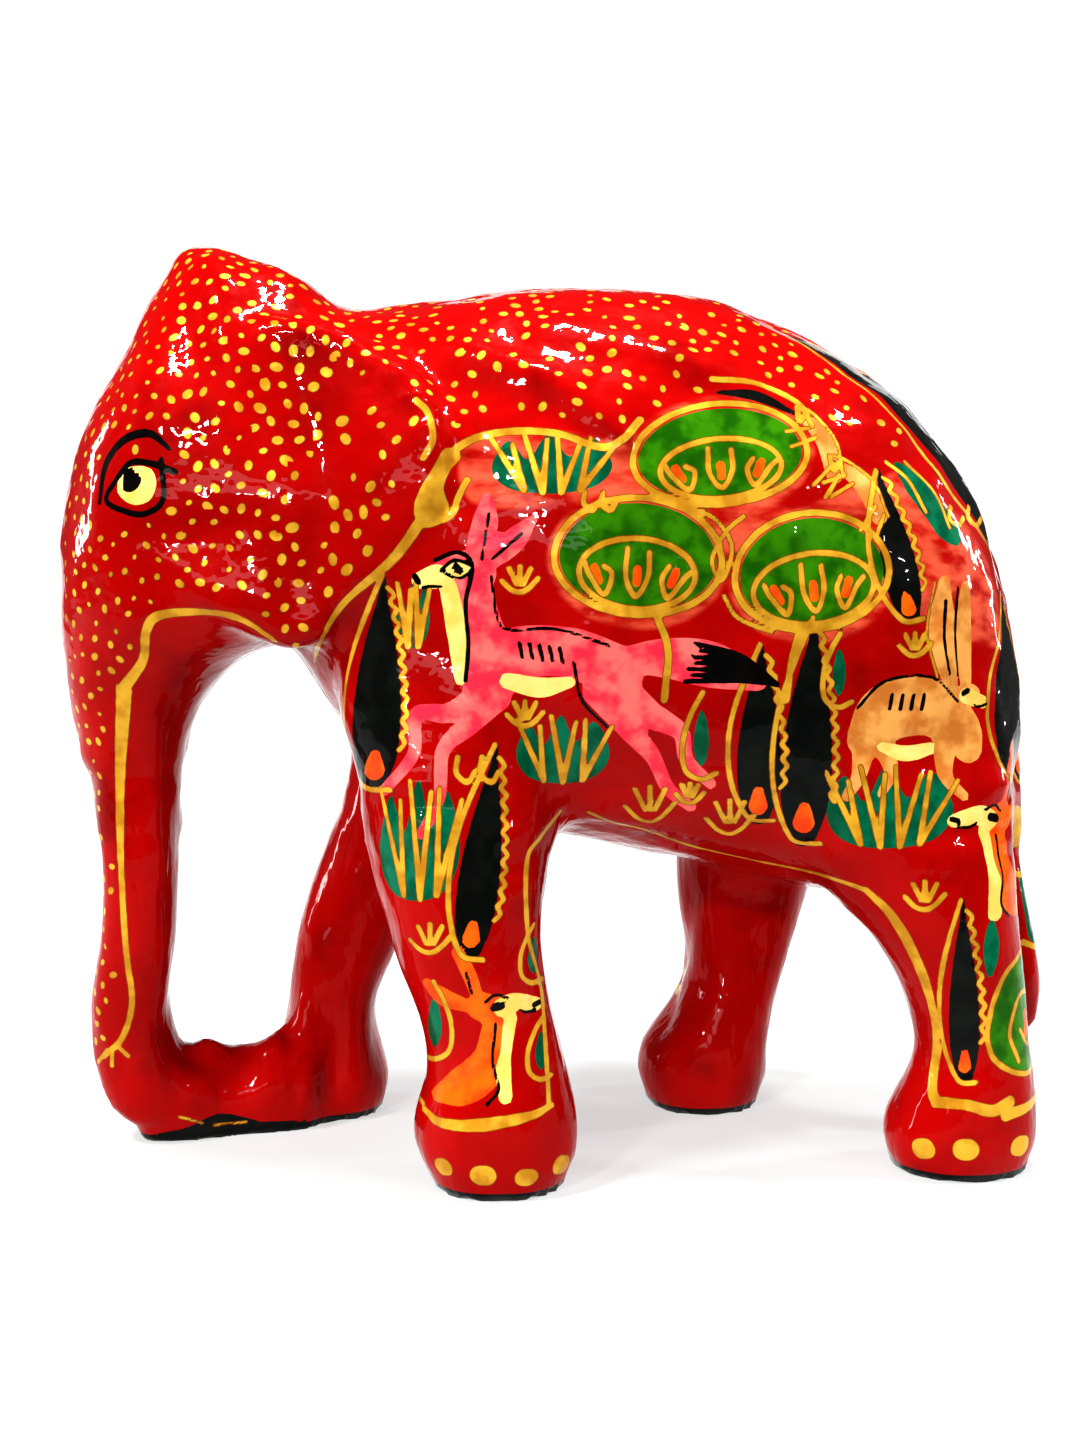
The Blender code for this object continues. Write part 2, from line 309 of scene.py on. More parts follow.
# %% Sizes of the lumps and flats
BROAD_LUMPS = (0.5 * MM, 14 * MM)
SMALL_LUMPS = (0.3 * MM, 6 * MM)
FACETS = (0.55 * MM, 12 * MM)
LEG_TOP = 66 * MM
LEG_BLEND = 20 * MM
LEG_STRETCH = 0.45
LEVEL_SOLES = 4 * MM
CURL_CORNER = (-26 * MM, 22 * MM)
CURL_BLEND = 4 * MM
CURL_CRUMPLE = 1.6
FACET_SLOPE = 0.5
print("lumps of", BROAD_LUMPS, "and", SMALL_LUMPS, "flats of", FACETS, "in metres")

# %% Ridges and hollows
# Lines of pixels, half width and height in mm, for each view. A height below zero is a hollow.
RIDGES = {
    near: [
        ([(258, 322), (300, 326), (345, 338), (388, 354), (420, 384), (432, 420)], 1.4, 1.0),
        ([(270, 345), (320, 352), (372, 376), (400, 410)], 2.4, -0.6),
        ([(286, 372), (318, 430), (330, 520), (318, 600)], 4.0, -0.8),
        ([(384, 430), (378, 500), (345, 570)], 2.6, 0.5),
        ([(232, 330), (228, 420), (240, 520), (262, 600)], 3.0, 0.6),
        ([(205, 262), (226, 300), (218, 345)], 2.0, 0.7),
        ([(172, 280), (192, 330), (176, 400)], 2.6, -0.5),
        ([(250, 262), (262, 292), (250, 320)], 2.4, -0.6),
        ([(462, 346), (500, 360), (556, 384), (596, 412), (622, 440)], 1.6, 1.0),
        ([(470, 388), (530, 408), (580, 434)], 3.0, -0.6),
        ([(520, 340), (600, 356), (660, 384)], 3.0, -0.6),
        ([(436, 392), (448, 416), (464, 442)], 1.3, 0.7),
        ([(440, 440), (455, 490), (470, 560)], 2.2, 0.45),
        ([(660, 356), (700, 362), (760, 384), (810, 398)], 2.0, 0.6),
        ([(640, 320), (720, 330), (800, 362)], 3.5, -0.4),
        ([(560, 470), (600, 620), (590, 760)], 6.0, 0.5),
        ([(640, 470), (660, 560), (700, 640)], 4.0, -0.4),
        ([(170, 560), (215, 590), (262, 600)], 3.0, 0.5),
        ([(150, 540), (200, 540), (250, 520)], 2.4, -0.5),
        ([(700, 620), (830, 690), (930, 760)], 6.0, -0.45),
        ([(840, 470), (900, 560), (940, 680)], 3.0, 0.5),
        ([(400, 720), (430, 860), (440, 980)], 3.5, 0.5),
        ([(530, 880), (540, 960), (552, 1060)], 2.4, 0.5),
        ([(935, 905), (960, 1000), (975, 1090)], 3.0, 0.5),
        ([(150, 700), (156, 800), (158, 900), (160, 990)], 2.0, 0.6),
        ([(106, 740), (104, 840), (106, 940)], 1.6, 0.4),
        ([(104, 1086), (118, 1102), (138, 1112)], 3.2, 0.8),
        ([(160, 1076), (196, 1086)], 4.4, 1.0),
        ([(206, 1050), (216, 1052)], 2.3, 2.3),
        ([(232, 1056), (236, 1074)], 2.6, -1.4),
        ([(262, 1086), (286, 1066)], 4.4, 1.1),
        ([(272, 1054), (290, 1034)], 2.0, 1.9),
        ([(222, 1096), (224, 1108)], 3.4, -1.0),
        ([(306, 1004), (309, 1040), (310, 1098)], 1.3, 1.3),
        ([(326, 1010), (332, 1060), (330, 1096)], 2.4, -1.1),
        ([(310, 920), (322, 960), (308, 1030)], 2.0, 0.6),
        ([(350, 830), (334, 900), (326, 960)], 2.0, -0.5),
        ([(690, 890), (686, 960), (664, 1030)], 1.8, -0.6),
        ([(712, 890), (718, 970), (700, 1050)], 2.0, 0.5),
        ([(760, 880), (756, 960), (745, 1040)], 1.6, -0.5),
    ],
    far: [
        ([(262, 322), (330, 350), (384, 405), (410, 470)], 2.6, 0.5),
        ([(300, 360), (340, 450), (350, 560)], 5.0, -0.4),
        ([(600, 420), (700, 390), (800, 410)], 3.5, 0.45),
        ([(560, 520), (640, 640), (620, 760)], 6.0, -0.35),
        ([(740, 560), (840, 640), (900, 760)], 5.0, 0.35),
    ],
    rear: [
        ([(480, 470), (500, 620), (470, 760)], 5.0, 0.35),
        ([(620, 480), (600, 620), (640, 760)], 5.0, -0.3),
    ],
}
print("ridges and hollows:", sum(len(lines) for lines in RIDGES.values()))

# %% Smooth lines and distances
def smooth_line(corners, closed=False, step=2.0):
    """A smooth line through given points, as points about a step apart."""
    knots = np.array(corners, float)
    if len(knots) < 3 and not closed:
        share = np.linspace(0, 1, max(2, int(np.linalg.norm(knots[1] - knots[0]) / step)))[:, None]
        return knots[0] * (1 - share) + knots[1] * share
    if closed:
        padded = np.concatenate([knots[-1:], knots, knots[:2]])
    else:
        padded = np.concatenate([2 * knots[:1] - knots[1:2], knots, 2 * knots[-1:] - knots[-2:-1]])
    line = []
    for before, start, end, after in zip(padded, padded[1:], padded[2:], padded[3:]):
        count = max(2, int(np.linalg.norm((end - start)[:2]) / step))
        t = (np.arange(count) / count)[:, None]
        line.append(0.5 * (2 * start + (end - before) * t
                           + (2 * before - 5 * start + 4 * end - after) * t ** 2
                           + (3 * start - before - 3 * end + after) * t ** 3))
    if not closed:
        line.append(padded[-2:-1])
    return np.concatenate(line)


def cast_line(view, pixels):
    """The places on the body under a line of pixels."""
    hits = [on_body(view, pixel) for pixel in pixels]
    return [hit for hit in hits if hit is not None]


def nearest_distance(places, samples):
    """Each place's distance from the nearest sample, and which sample that is."""
    tree = KDTree(len(samples))
    for i, sample in enumerate(samples):
        tree.insert(sample, i)
    tree.balance()
    found = [tree.find(place) for place in places]
    return np.array([hit[2] for hit in found]), np.array([hit[1] for hit in found])


print("a smooth line through 3 pixels has", len(smooth_line([(0, 0), (20, 10), (40, 0)])), "points")

# %% Mould the surface by hand
normals = normals_of(even_mesh)
lift = np.zeros(len(points))
on_legs = np.clip((LEG_TOP - points[:, 2]) / LEG_BLEND, 0, 1)
grain = points * np.stack([np.ones(len(points)), np.ones(len(points)), 1 - (1 - LEG_STRETCH) * on_legs], 1)
for height, size in (BROAD_LUMPS, SMALL_LUMPS):
    lift += height * np.array([noise.noise(Vector(p) / size) for p in grain])
height, size = FACETS
in_curl = np.clip((CURL_CORNER[0] - points[:, 0]) / CURL_BLEND, 0, 1)
in_curl *= np.clip((CURL_CORNER[1] - points[:, 2]) / CURL_BLEND, 0, 1)
for i, p in enumerate(grain):
    nearest, second = noise.voronoi(Vector(p) / size)[0][:2]
    flat = min(second - nearest, FACET_SLOPE) - FACET_SLOPE / 2
    lift[i] += height * (1 + CURL_CRUMPLE * in_curl[i]) * flat
for view, lines in RIDGES.items():
    for pixels, half_width, height in lines:
        distance, _ = nearest_distance(points, cast_line(view, smooth_line(pixels, step=4)))
        lift += height * MM * np.exp(-(distance / (half_width * MM)) ** 2)
lift *= np.clip(points[:, 2] / LEVEL_SOLES, 0, 1)
points = points + normals * lift[:, None]
low, high = np.array(cad_box[0]), np.array(cad_box[1])
points = np.clip(points, low, high)
even_mesh.vertices.foreach_set("co", points.ravel())
even_mesh.update()
body_tree = tree_of(even_mesh)
print("lumps from", (lift.min() / MM).round(2), "to", (lift.max() / MM).round(2), "mm")

# %% [markdown]
# ## Brushes
# Paint could be an image wrapped round the body, but an image is a grid of colours, and it blurs up close.
# Here each colour is a layer with its own list of brush marks. A mark is a stroke of the brush on the
# surface, a filled outline, or a limb, which is a fat stroke that swells and tapers. For every point of
# the mesh a layer then holds one number: how far the point is outside the layer's nearest mark, in mm,
# below zero inside. The shader cuts that number at zero, which gives a clean edge at any distance.

# %% The layers of paint, from the bottom to the top
PAINTS = ["salmon", "black", "pine", "leaf", "orange", "pink", "tan", "cream"]
LINES = ["gold", "fine_gold", "ink"]
LAYERS = PAINTS + LINES
PIXELS_PER_MM = 6.7
print(len(LAYERS), "layers of paint")

# %% Strokes
SLIP = 12 * MM
SAMPLE_GAP = 0.22 * MM
LONGEST_GAP = 5 * MM
strokes = {name: [] for name in LAYERS}


def brush_line(view, line, halves):
    """The places under a line of pixels. Where it slips past an edge, what lies behind is left out."""
    kept = []
    for pixel, half in zip(line, halves):
        place = on_body(view, pixel)
        if place is None:
            continue
        distance = (place - Vector(view.eye)).length
        if kept and distance > kept[-1][2] + SLIP:
            continue
        if kept and distance < kept[-1][2] - SLIP:
            kept = []
        kept.append((place, half, distance))
    return kept


def stroke(layer, view, pixels, width, closed=False):
    """A brush line on the body. Width is one number in mm, or a list of them that it passes through."""
    line = smooth_line(pixels, closed)
    widths = np.atleast_1d(width)
    halves = np.interp(np.linspace(0, 1, len(line)), np.linspace(0, 1, len(widths)), widths) * MM / 2
    last = None
    for place, half, _ in brush_line(view, line, halves):
        if last is not None and SAMPLE_GAP < (place - last).length < LONGEST_GAP:
            count = int((place - last).length / SAMPLE_GAP) + 1
            strokes[layer] += [(last.lerp(place, i / count), half) for i in range(1, count)]
        strokes[layer].append((place, half))
        last = place


print("a stroke's samples are at most", round(SAMPLE_GAP / MM, 2), "mm apart")

# %% Filled outlines and limbs
REACH = 24 * MM
shapes = {name: [] for name in LAYERS}


def fill(layer, view, pixels):
    """A closed, smooth outline filled with paint. REACH is how deep it goes, seen from its view."""
    shapes[layer].append((view, smooth_line(pixels, closed=True, step=5), None))


def limb(layer, view, pixels, widths):
    """A fat stroke with its width in mm at each point."""
    knots = [(x, y, w * PIXELS_PER_MM / 2) for (x, y), w in zip(pixels, widths)]
    line = smooth_line(knots, step=4)
    shapes[layer].append((view, line[:, :2], np.maximum(line[:, 2], 0.5)))


def around(at, offsets, size=1.0, turn=0.0, flip=1):
    """Pixels at the given mm to the right of an anchor pixel and above it, sized, turned and flipped."""
    across, along = math.cos(turn), math.sin(turn)
    pixels = []
    for right, up in offsets:
        right, up = flip * right * size, up * size
        pixels.append((at[0] + PIXELS_PER_MM * (right * across - up * along),
                       at[1] - PIXELS_PER_MM * (right * along + up * across)))
    return pixels


print("one mm is", PIXELS_PER_MM, "pixels in a view")

# %% [markdown]
# ## Plants
# The painter repeats a few plants: a black cypress, a round green tree with gold rings, a clump of grass,
# a small sprig and a leaf in a loop. Each is a function here, with a place, a size and a lean, so that all
# of them differ a little as brushwork does.

# %% The cypress
GOLD_LINE = 0.95
GOLD_FINE = 0.85
SCALLOP = 1.1
BULGE = 0.72
BLUNT_FOOT = 1.06
SWING = 1.3


def cypress(view, tip, foot, width):
    """A black tree with a gold line that swings clear of it on one side, and a scalloped one on the other."""
    tip, foot = np.array(tip, float), np.array(foot, float)
    axis = foot - tip
    length = np.linalg.norm(axis)
    side = np.array([-axis[1], axis[0]]) / length
    half = width * PIXELS_PER_MM / 2
    steps = np.linspace(0, 1, 9)
    swell = np.where(steps < BULGE, np.sin(steps / BULGE * math.pi / 2) ** 1.1,
                     np.sqrt(np.clip(1 - ((steps - BULGE) / (BLUNT_FOOT - BULGE)) ** 2, 0, 1)))
    middle = tip + axis * steps[:, None]
    limb("black", view, [tuple(p) for p in middle], np.maximum(2 * half * swell / PIXELS_PER_MM, 0.5))
    clear = (0.3 + SWING * np.sin(steps * math.pi)) * PIXELS_PER_MM
    edge = middle + side * (half * swell + clear)[:, None]
    round_foot = [foot + axis * 0.05 + side * half * 0.2, foot + axis * 0.05 - side * half * 0.7]
    stroke("gold", view, [tuple(p) for p in (*edge, *round_foot)], GOLD_LINE)
    scallops = []
    for i, share in enumerate(np.arange(0.06, 0.86, SCALLOP * PIXELS_PER_MM / length)):
        out = half * np.interp(share, steps, swell) + (0.2, 0.95)[i % 2] * PIXELS_PER_MM
        scallops.append(tuple(tip + axis * share - side * out))
    stroke("fine_gold", view, scallops, GOLD_FINE)
    at = tip + axis * 0.93
    bud = [tuple(at - axis / length * 9), tuple(at + axis / length * 5)]
    limb("orange", view, bud, [0.24 * width, 0.44 * width])


print("cypress: scallops every", SCALLOP, "mm")

# %% The round tree
FANS = 3


def ring(at, width, height, turn, squash=0.0):
    """Pixels round an oval that is a little flatter below."""
    angles = np.arange(12) / 12 * math.tau
    offsets = [(width / 2 * math.sin(a), height / 2 * math.cos(a) * (1 - squash * (math.cos(a) < 0)))
               for a in angles]
    return around(at, offsets, turn=turn)


def round_tree(view, at, width, height, turn=0.0, stem=None, inner=0.74):
    """A bright green crown with a gold ring round it, a smaller ring inside and a fan of strokes in that."""
    fill("salmon", view, ring(at, width + 3.6, height + 3.6, turn))
    fill("leaf", view, ring(at, width, height, turn, 0.12))
    outer = ring(at, width + 1.6, height + 1.6, turn, 0.12)
    stroke("gold", view, outer, 1.1, closed=True)
    heart = around(at, [(0, -0.12 * height)], turn=turn)[0]
    stroke("gold", view, ring(heart, inner * width, 0.62 * height, turn), 1.0, closed=True)
    foot = -0.2 * height
    for i in range(FANS):
        lean = (i / (FANS - 1) - 0.5) * 2
        across, low, high = 0.27 * width * lean, foot, foot + (0.42 - 0.14 * lean * lean) * height
        half = 0.07 * width
        loop = [(across - half, high), (0.85 * across - half, low + 0.16 * height), (0.75 * across, low),
                (0.85 * across + half, low + 0.18 * height), (1.05 * across + half, high - 0.03 * height)]
        stroke("fine_gold", view, around(heart, loop, turn=turn), 0.95)
    for lean in (-1.0, 0.0, 0.9):
        spot = (0.24 * width * lean, foot + 0.12 * height)
        bud = [spot, (spot[0] * 1.15, spot[1] + 0.12 * height)]
        limb("orange", view, around(heart, bud, turn=turn), [1.3, 1.3])
    if stem:
        stroke("gold", view, stem, 1.2)


print("round tree:", FANS, "fans of gold in each crown")

# %% Grass, sprig, leaf and curls
CROWN = [(-0.5, 0.35), (-0.36, 0.85), (-0.2, 0.5), (-0.02, 1.0), (0.14, 0.55), (0.33, 0.9),
         (0.5, 0.4), (0.36, 0.0), (0.0, -0.14), (-0.36, -0.04)]
SPRIG_LEAVES = 3


def grass(view, at, width, height, blades):
    """A clump of dark green with long gold blades, two to a foot, that open upwards."""
    fill("pine", view, around(at, [(x * width, y * height) for x, y in CROWN]))
    gap = 1 / blades
    for i in range(blades):
        share = (i + 0.5) * gap - 0.5
        foot = (share * 0.62 * width, -0.12 * height + 0.3 * share * share * height)
        left = ((share - 0.34 * gap) * 1.1 * width, (0.98 - 0.6 * share * share) * height)
        right = ((share + 0.36 * gap) * 1.15 * width, (0.88 - 0.7 * share * share) * height)
        for blade_tip in (left, right):
            stroke("fine_gold", view, around(at, [foot, blade_tip]), [1.1, GOLD_FINE])


def sprig(view, at, size):
    """A small plant of one low stroke and a few short ones above it."""
    low = [(-3.0, 1.2), (-1.4, -0.3), (0.1, -0.7), (1.5, 0.0), (3.0, 1.6)]
    stroke("gold", view, around(at, low, size), GOLD_LINE)
    for i in range(SPRIG_LEAVES):
        angle = (i - (SPRIG_LEAVES - 1) / 2) * 0.42
        leaf = [(1.4 * math.sin(angle), 0.7), (4.4 * math.sin(angle), 3.5 * math.cos(angle))]
        stroke("fine_gold", view, around(at, leaf, size), GOLD_LINE)


def looped_leaf(view, at, size, flip):
    """A dark green leaf held in a gold loop that is open on one side."""
    leaf = [(0.2, 3.2), (0.9, 1.2), (0.9, -1.6), (0.1, -3.2), (-0.7, -1.4), (-0.5, 1.2)]
    loop = [(0.3, 5.0), (-1.0, 2.6), (-1.9, -0.4), (-1.7, -3.4), (0.0, -4.6), (1.8, -3.9)]
    fill("pine", view, around(at, leaf, size, flip=flip))
    stroke("gold", view, around(at, loop, size, flip=flip), GOLD_LINE)


def curls(view, at, size):
    """Two small hooks of gold, side by side."""
    for shift in (-1.5, 1.5):
        hook = [(shift - 1.0, 2.2), (shift - 1.2, 0.2), (shift + 0.2, -0.9), (shift + 1.1, 0.4)]
        stroke("gold", view, around(at, hook, size), GOLD_LINE)


print("plants: cypress, round_tree, grass, sprig, looped_leaf, curls")

# %% [markdown]
# ## Animals
# The animals are the plain folk kind: a few fat strokes for the coat, cream for the belly and throat, and
# a thin black line here and there. They are drawn in mm round one pixel, facing left, and a flip turns
# them round. Legs, neck and ears are simple tapered limbs, so one brush makes them all.

# %% Two brushes for animals
INK_LINE = 0.5


def brushes(view, at, size, flip=1):
    """A fat brush for coats and a thin black one for lines, both in mm round one pixel."""

    def part(layer, offsets, widths):
        limb(layer, view, around(at, offsets, size, flip=flip), [w * size for w in widths])

    def line(offsets, width=INK_LINE):
        stroke("ink", view, around(at, offsets, size, flip=flip), width)

    return part, line


print("a black line is", INK_LINE, "mm wide")


# %% The running deer
def running_deer(view, at, size):
    """A deer in full leap, about 50 mm from its nose to the tip of its tail."""
    part, line = brushes(view, at, size)
    part("pink", [(-6, -4), (-2, -0.6), (6, -0.4), (13, -3.2)], [8.6, 8.0, 7.4, 8.0])
    part("pink", [(-9.4, 10.4), (-7.8, 4), (-5.8, -2)], [7.0, 7.0, 8.6])
    part("pink", [(-15.5, 10.8), (-12, 11.4), (-8.6, 11.6)], [2.6, 4.8, 7.2])
    part("pink", [(-8.8, 13), (-6.8, 18.4), (-6.4, 23)], [2.2, 4.0, 1.3])
    part("pink", [(-7.0, 12.5), (-2.8, 16.0), (0.6, 19.6)], [2.2, 3.7, 1.2])
    high_shin = [(-12, -9.4), (-17, -9.6), (-17.4, -15.5)]
    low_shin = [(-9.5, -11.5), (-13, -15), (-13.6, -22)]
    far_hock = [(15.4, -12.4), (18.4, -16), (20.6, -20.6)]
    part("pink", [(-7, -6.5), *high_shin, (-21.8, -21)], [4.2, 3.0, 2.2, 1.9, 1.6])
    part("pink", [(-5, -7), *low_shin, (-16.2, -27.5)], [4.4, 3.1, 2.2, 1.9, 1.5])
    part("pink", [(12, -5), (18, -9.6), (22.4, -12.2), (23.4, -16.4), (27, -20)], [6.0, 4.0, 2.6, 2.1, 1.6])
    part("pink", [(10.5, -6), *far_hock, (24, -23.4)], [5.4, 3.4, 2.4, 2.0, 1.6])
    part("pink", [(13, -1.6), (20, -1.2), (27, -2.2), (34, -4.6)], [3.4, 5.8, 6.8, 3.0])
    part("orange", [(-8.0, 1), (-7.4, -4.5), (-6.4, -8)], [1.4, 3.8, 2.4])
    part("orange", [(-8, -6.8), *high_shin, (-21.0, -20.4)], [2.2, 1.9, 1.4, 1.2, 0.9])
    part("orange", [(-6, -7.6), *low_shin, (-15.6, -26.6)], [2.2, 1.9, 1.4, 1.2, 0.9])
    part("cream", [(-16.4, 10.4), (-13.8, 11.0), (-12.2, 11.0)], [2.5, 3.6, 1.6])
    part("cream", [(-12.2, 9.4), (-11.0, 3), (-10.4, -4.5)], [2.6, 3.0, 1.6])
    part("cream", [(-3.4, -4.6), (1.5, -5.6), (6, -4.8)], [2.4, 3.0, 1.6])
    part("cream", [(-12.0, 11.9), (-10.0, 12.1)], [2.0, 2.6])
    line([(-17.2, 11.0), (-16.7, 10.2)], 0.9)
    line([(-16.0, 9.3), (-14.8, 9.5), (-13.2, 9.4)])
    line([(-14.2, 13.4), (-10.8, 14.6), (-8.6, 12.6), (-9.6, 7), (-9.2, 1), (-9.6, -4.6)], 0.65)
    line([(-13.4, 11.9), (-11.2, 13.4), (-8.6, 12.3), (-10.6, 10.7), (-13.4, 11.9)])
    line([(-11.0, 12.5), (-10.6, 11.8)], 1.5)
    line([(-7.2, 13.5), (-6.1, 20.5)])
    line([(-5.6, 13.6), (-1.2, 17.4)])
    line([(-5.8, 11.0), (-4.8, 4.6), (-2.8, 3.0), (4, 3.1), (12, 0.6)])
    line([(6.5, -1.6), (7.8, -7.5), (11.6, -11.6)])
    for i in range(5):
        start = (-1.6 + 1.5 * i, 1.1 - 0.2 * i)
        line([start, (start[0] + 0.5, start[1] - 2.2)], 0.62)
    tip = (37, -5.2)
    for i in range(7):
        root = (24.6 + 0.9 * (i % 2) - 0.25 * i, 1.0 - 0.95 * i)
        belly_of_tail = (31.4, root[1] * 0.62 - 1.6)
        line([root, belly_of_tail, tip], [0.6, 0.95, 0.7])


print("deer: pink and orange coat, five stripes")


# %% The hare
def hare(view, at, size, flip):
    """A long-eared animal that sits and looks back, about 20 mm long."""
    part, line = brushes(view, at, size, flip)
    part("tan", [(7.2, -4), (4, 0), (-2, 0.8), (-6.4, -2.4), (-8, -5.6)], [6.0, 8.6, 8.6, 6.6, 4.0])
    part("tan", [(7.6, -5), (8.4, -9.5), (10.2, -12.6)], [3.6, 2.2, 1.5])
    part("tan", [(4.6, -5), (3.6, -9), (5.0, -12.2)], [3.4, 2.0, 1.3])
    part("tan", [(-4.4, -5), (-4.6, -9.6), (-7.4, -12.6)], [3.6, 2.1, 1.4])
    part("tan", [(-8.2, 2.6), (-6.2, 1.6), (-4, -0.8)], [3.2, 4.0, 4.6])
    part("tan", [(-5.4, 4), (-4.0, 11.5), (-4.4, 19.6)], [2.0, 4.4, 1.6])
    part("tan", [(-7.6, 4), (-7.0, 11.6), (-7.6, 19.0)], [1.6, 2.8, 1.3])
    part("cream", [(-10, 1.5), (-7.8, 2.4)], [2.0, 2.5])
    part("cream", [(-2.4, -5.4), (1.4, -6.2), (5, -5.2)], [1.8, 2.4, 1.4])
    line([(-7.9, 3.2), (-7.2, 2.8)], 0.9)
    line([(-10.7, 1.2), (-9.6, 0.8), (-8.8, 1.0)])
    line([(-5.2, 5.6), (-4.4, 11), (-4.6, 16.6)], 0.6)
    line([(-6.4, 5.4), (-6.0, 12), (-6.4, 18.6)], 0.5)
    stroke("fine_gold", view, around(at, [(-3.4, 5.0), (-1.8, 12), (-3.0, 19.4)], size, flip=flip), 0.6)
    line([(8.6, 0.6), (4.4, 4.6), (-2.4, 5.2), (-6.4, 1.6)])
    for i in range(4):
        line([(-1.4 + 1.6 * i, 2.6), (-1.0 + 1.6 * i, 0.4)], 0.6)


print("hare: tan coat, four stripes")


# %% The fawn and the small runner
def resting_fawn(view, at, size, rest, flip=1):
    """A fawn that lies with its head up, about 20 mm high. Rest is how far back its body goes."""
    part, line = brushes(view, at, size, flip)
    part("orange", [(rest, -7.6), (0.5 * rest, -6.4), (0, -3), (-1.0, 3)], [2.6, 5.6, 5.2, 3.6])
    part("orange", [(-0.4, 4.2), (1.4, 4.8)], [4.4, 4.0])
    part("orange", [(1.6, 5.6), (3.0, 9.4), (4.6, 12.4)], [1.6, 2.0, 1.8])
    part("orange", [(2.6, 4.6), (6.4, 6.0), (9.0, 8.2)], [1.5, 2.4, 1.2])
    part("cream", [(-6.4, 5.2), (-3.6, 5.4), (-1.8, 4.6)], [2.0, 2.6, 2.8])
    part("cream", [(-2.9, 3.2), (-2.3, -1.5), (-1.9, -4.4), (-2.2, -8.2)], [1.9, 1.6, 2.2, 2.0])
    line([(-7.0, 5.4), (-6.2, 5.0)], 0.8)
    line([(-6.4, 4.2), (-5.0, 4.0), (-4.0, 4.4)])
    line([(-1.6, 4.9), (-0.6, 4.6)], 1.3)
    line([(-2.6, 5.9), (-0.8, 6.4), (0.6, 5.4)])
    line([(-0.8, 2.4), (-0.4, -3), (-1.2, -7), (0.4, -9.2)])
    line([(2.6, 6.6), (3.4, 9.6)])


def small_runner(view, at, size, turn):
    """A little gold animal in a few quick strokes, as on the far hillside."""
    body = [(-6, 0.6), (-1, 1.4), (5, -0.6)]
    limb("tan", view, around(at, body, size, turn), [1.6, 2.9, 2.4])
    stroke("gold", view, around(at, [(-9, 0.6), (-6, 2.2), (0, 2.9), (6, 0.6)], size, turn), 0.7)
    stroke("gold", view, around(at, [(-8.6, 0.4), (-6.4, -0.6), (-6.8, 0.9)], size, turn), 1.0)
    for foot in ((-6.2, -3.6), (-3.4, -4.2), (4.4, -4.6), (7.4, -4.0)):
        hip = (foot[0] * 0.72, 0.2)
        stroke("fine_gold", view, around(at, [hip, foot], size, turn), 0.75)


print("animals: running_deer, hare, resting_fawn, small_runner")

# %% [markdown]
# ## The eye
# Each side of the head has one eye: a cream ball that looks up and forward, a black pupil against its
# upper lid, a strong lid line and a high brow. It is drawn with the same brushes, on both sides.

# %% Paint both eyes
EYE = (135, 484)


def eye(view, at):
    fill("cream", view, around(at, [(-2.0, 1.8), (0.2, 2.7), (2.4, 2.3), (3.2, 0), (2.2, -2.5), (-0.4, -3.1),
                                    (-2.6, -1.3)]))
    stroke("ink", view, around(at, [(-1.3, 1.7), (-0.8, 0.7)]), 3.7)
    stroke("ink", view, around(at, [(-2.6, 1.0), (-0.6, 3.2), (2.6, 3.0), (6.0, 1.8)]), 0.95)
    lower_lid = [(-2.6, 1.0), (-4.3, -2.4), (-1.4, -4.1), (1.6, -4.4), (4.2, -2.2), (3.9, 3.6)]
    stroke("ink", view, around(at, lower_lid), 0.85)
    brow = [(-5.3, -2.8), (-4.4, 2.8), (-1.6, 6.6), (2.2, 7.5), (5.2, 5.2)]
    stroke("ink", view, around(at, brow), [0.7, 1.2, 1.4, 0.6])


for view in (near, far):
    eye(view, EYE)
print("eyes:", len(shapes["cream"]), "cream balls")

# %% [markdown]
# ## Gold borders
# A gold line parts the painted picture from the plain red of the legs, belly, face and trunk. It runs down
# the edge of the ear, along the jaw and trunk, over the shoulder, and round each upper leg.

# %% Draw the borders of the near side
JAW = [(275, 641), (240, 619), (200, 612), (158, 616), (146, 632), (143, 660), (124, 688)]
TRUNK_LINE = [(124, 688), (120, 780), (121, 870), (126, 950), (132, 1002), (122, 1038), (104, 1056)]
TRUNK_TIPS = [((108, 1050), (98, 1062)), ((116, 1044), (128, 1056)), ((112, 1048), (112, 1066))]
CURL_SOLE = [(150, 1138), (190, 1131), (222, 1123), (262, 1127), (310, 1123), (350, 1116), (388, 1108)]
EAR_LINE = [(421, 521), (392, 560), (344, 603), (320, 642), (314, 662)]
EAR_SQUIGGLE = [(416, 400), (428, 413), (433, 439), (423, 458)]
EAR_KNOT = [(446, 447), (432, 468), (418, 492), (413, 512), (422, 528), (440, 524), (450, 508), (444, 490),
            (450, 472), (462, 456)]
SHOULDER_HOOK = [(436, 522), (452, 514), (458, 498), (467, 480)]
PANEL_TOP = [(445, 462), (457, 448), (482, 436), (520, 431), (560, 434), (600, 447), (622, 440), (640, 420)]
BELLY_LINE = [(588, 812), (612, 822), (646, 830), (692, 846), (753, 860), (814, 873), (866, 890), (891, 915),
              (912, 951), (931, 1000), (937, 1040), (932, 1086), (936, 1102)]
FORELEG_LINE = [(560, 812), (540, 838), (527, 862), (528, 934), (541, 987), (547, 1068), (549, 1106)]
FORELEG_HEM = [(423, 1108), (442, 1123), (482, 1125), (530, 1116), (552, 1105)]
HINDLEG_HEM = [(936, 1102), (967, 1105), (992, 1111), (1010, 1102)]
HEM_BEHIND = [(524, 1091), (548, 1091), (575, 1088), (606, 1084)]
KNEE_LINE = [(375, 1010), (392, 1060), (424, 1104)]
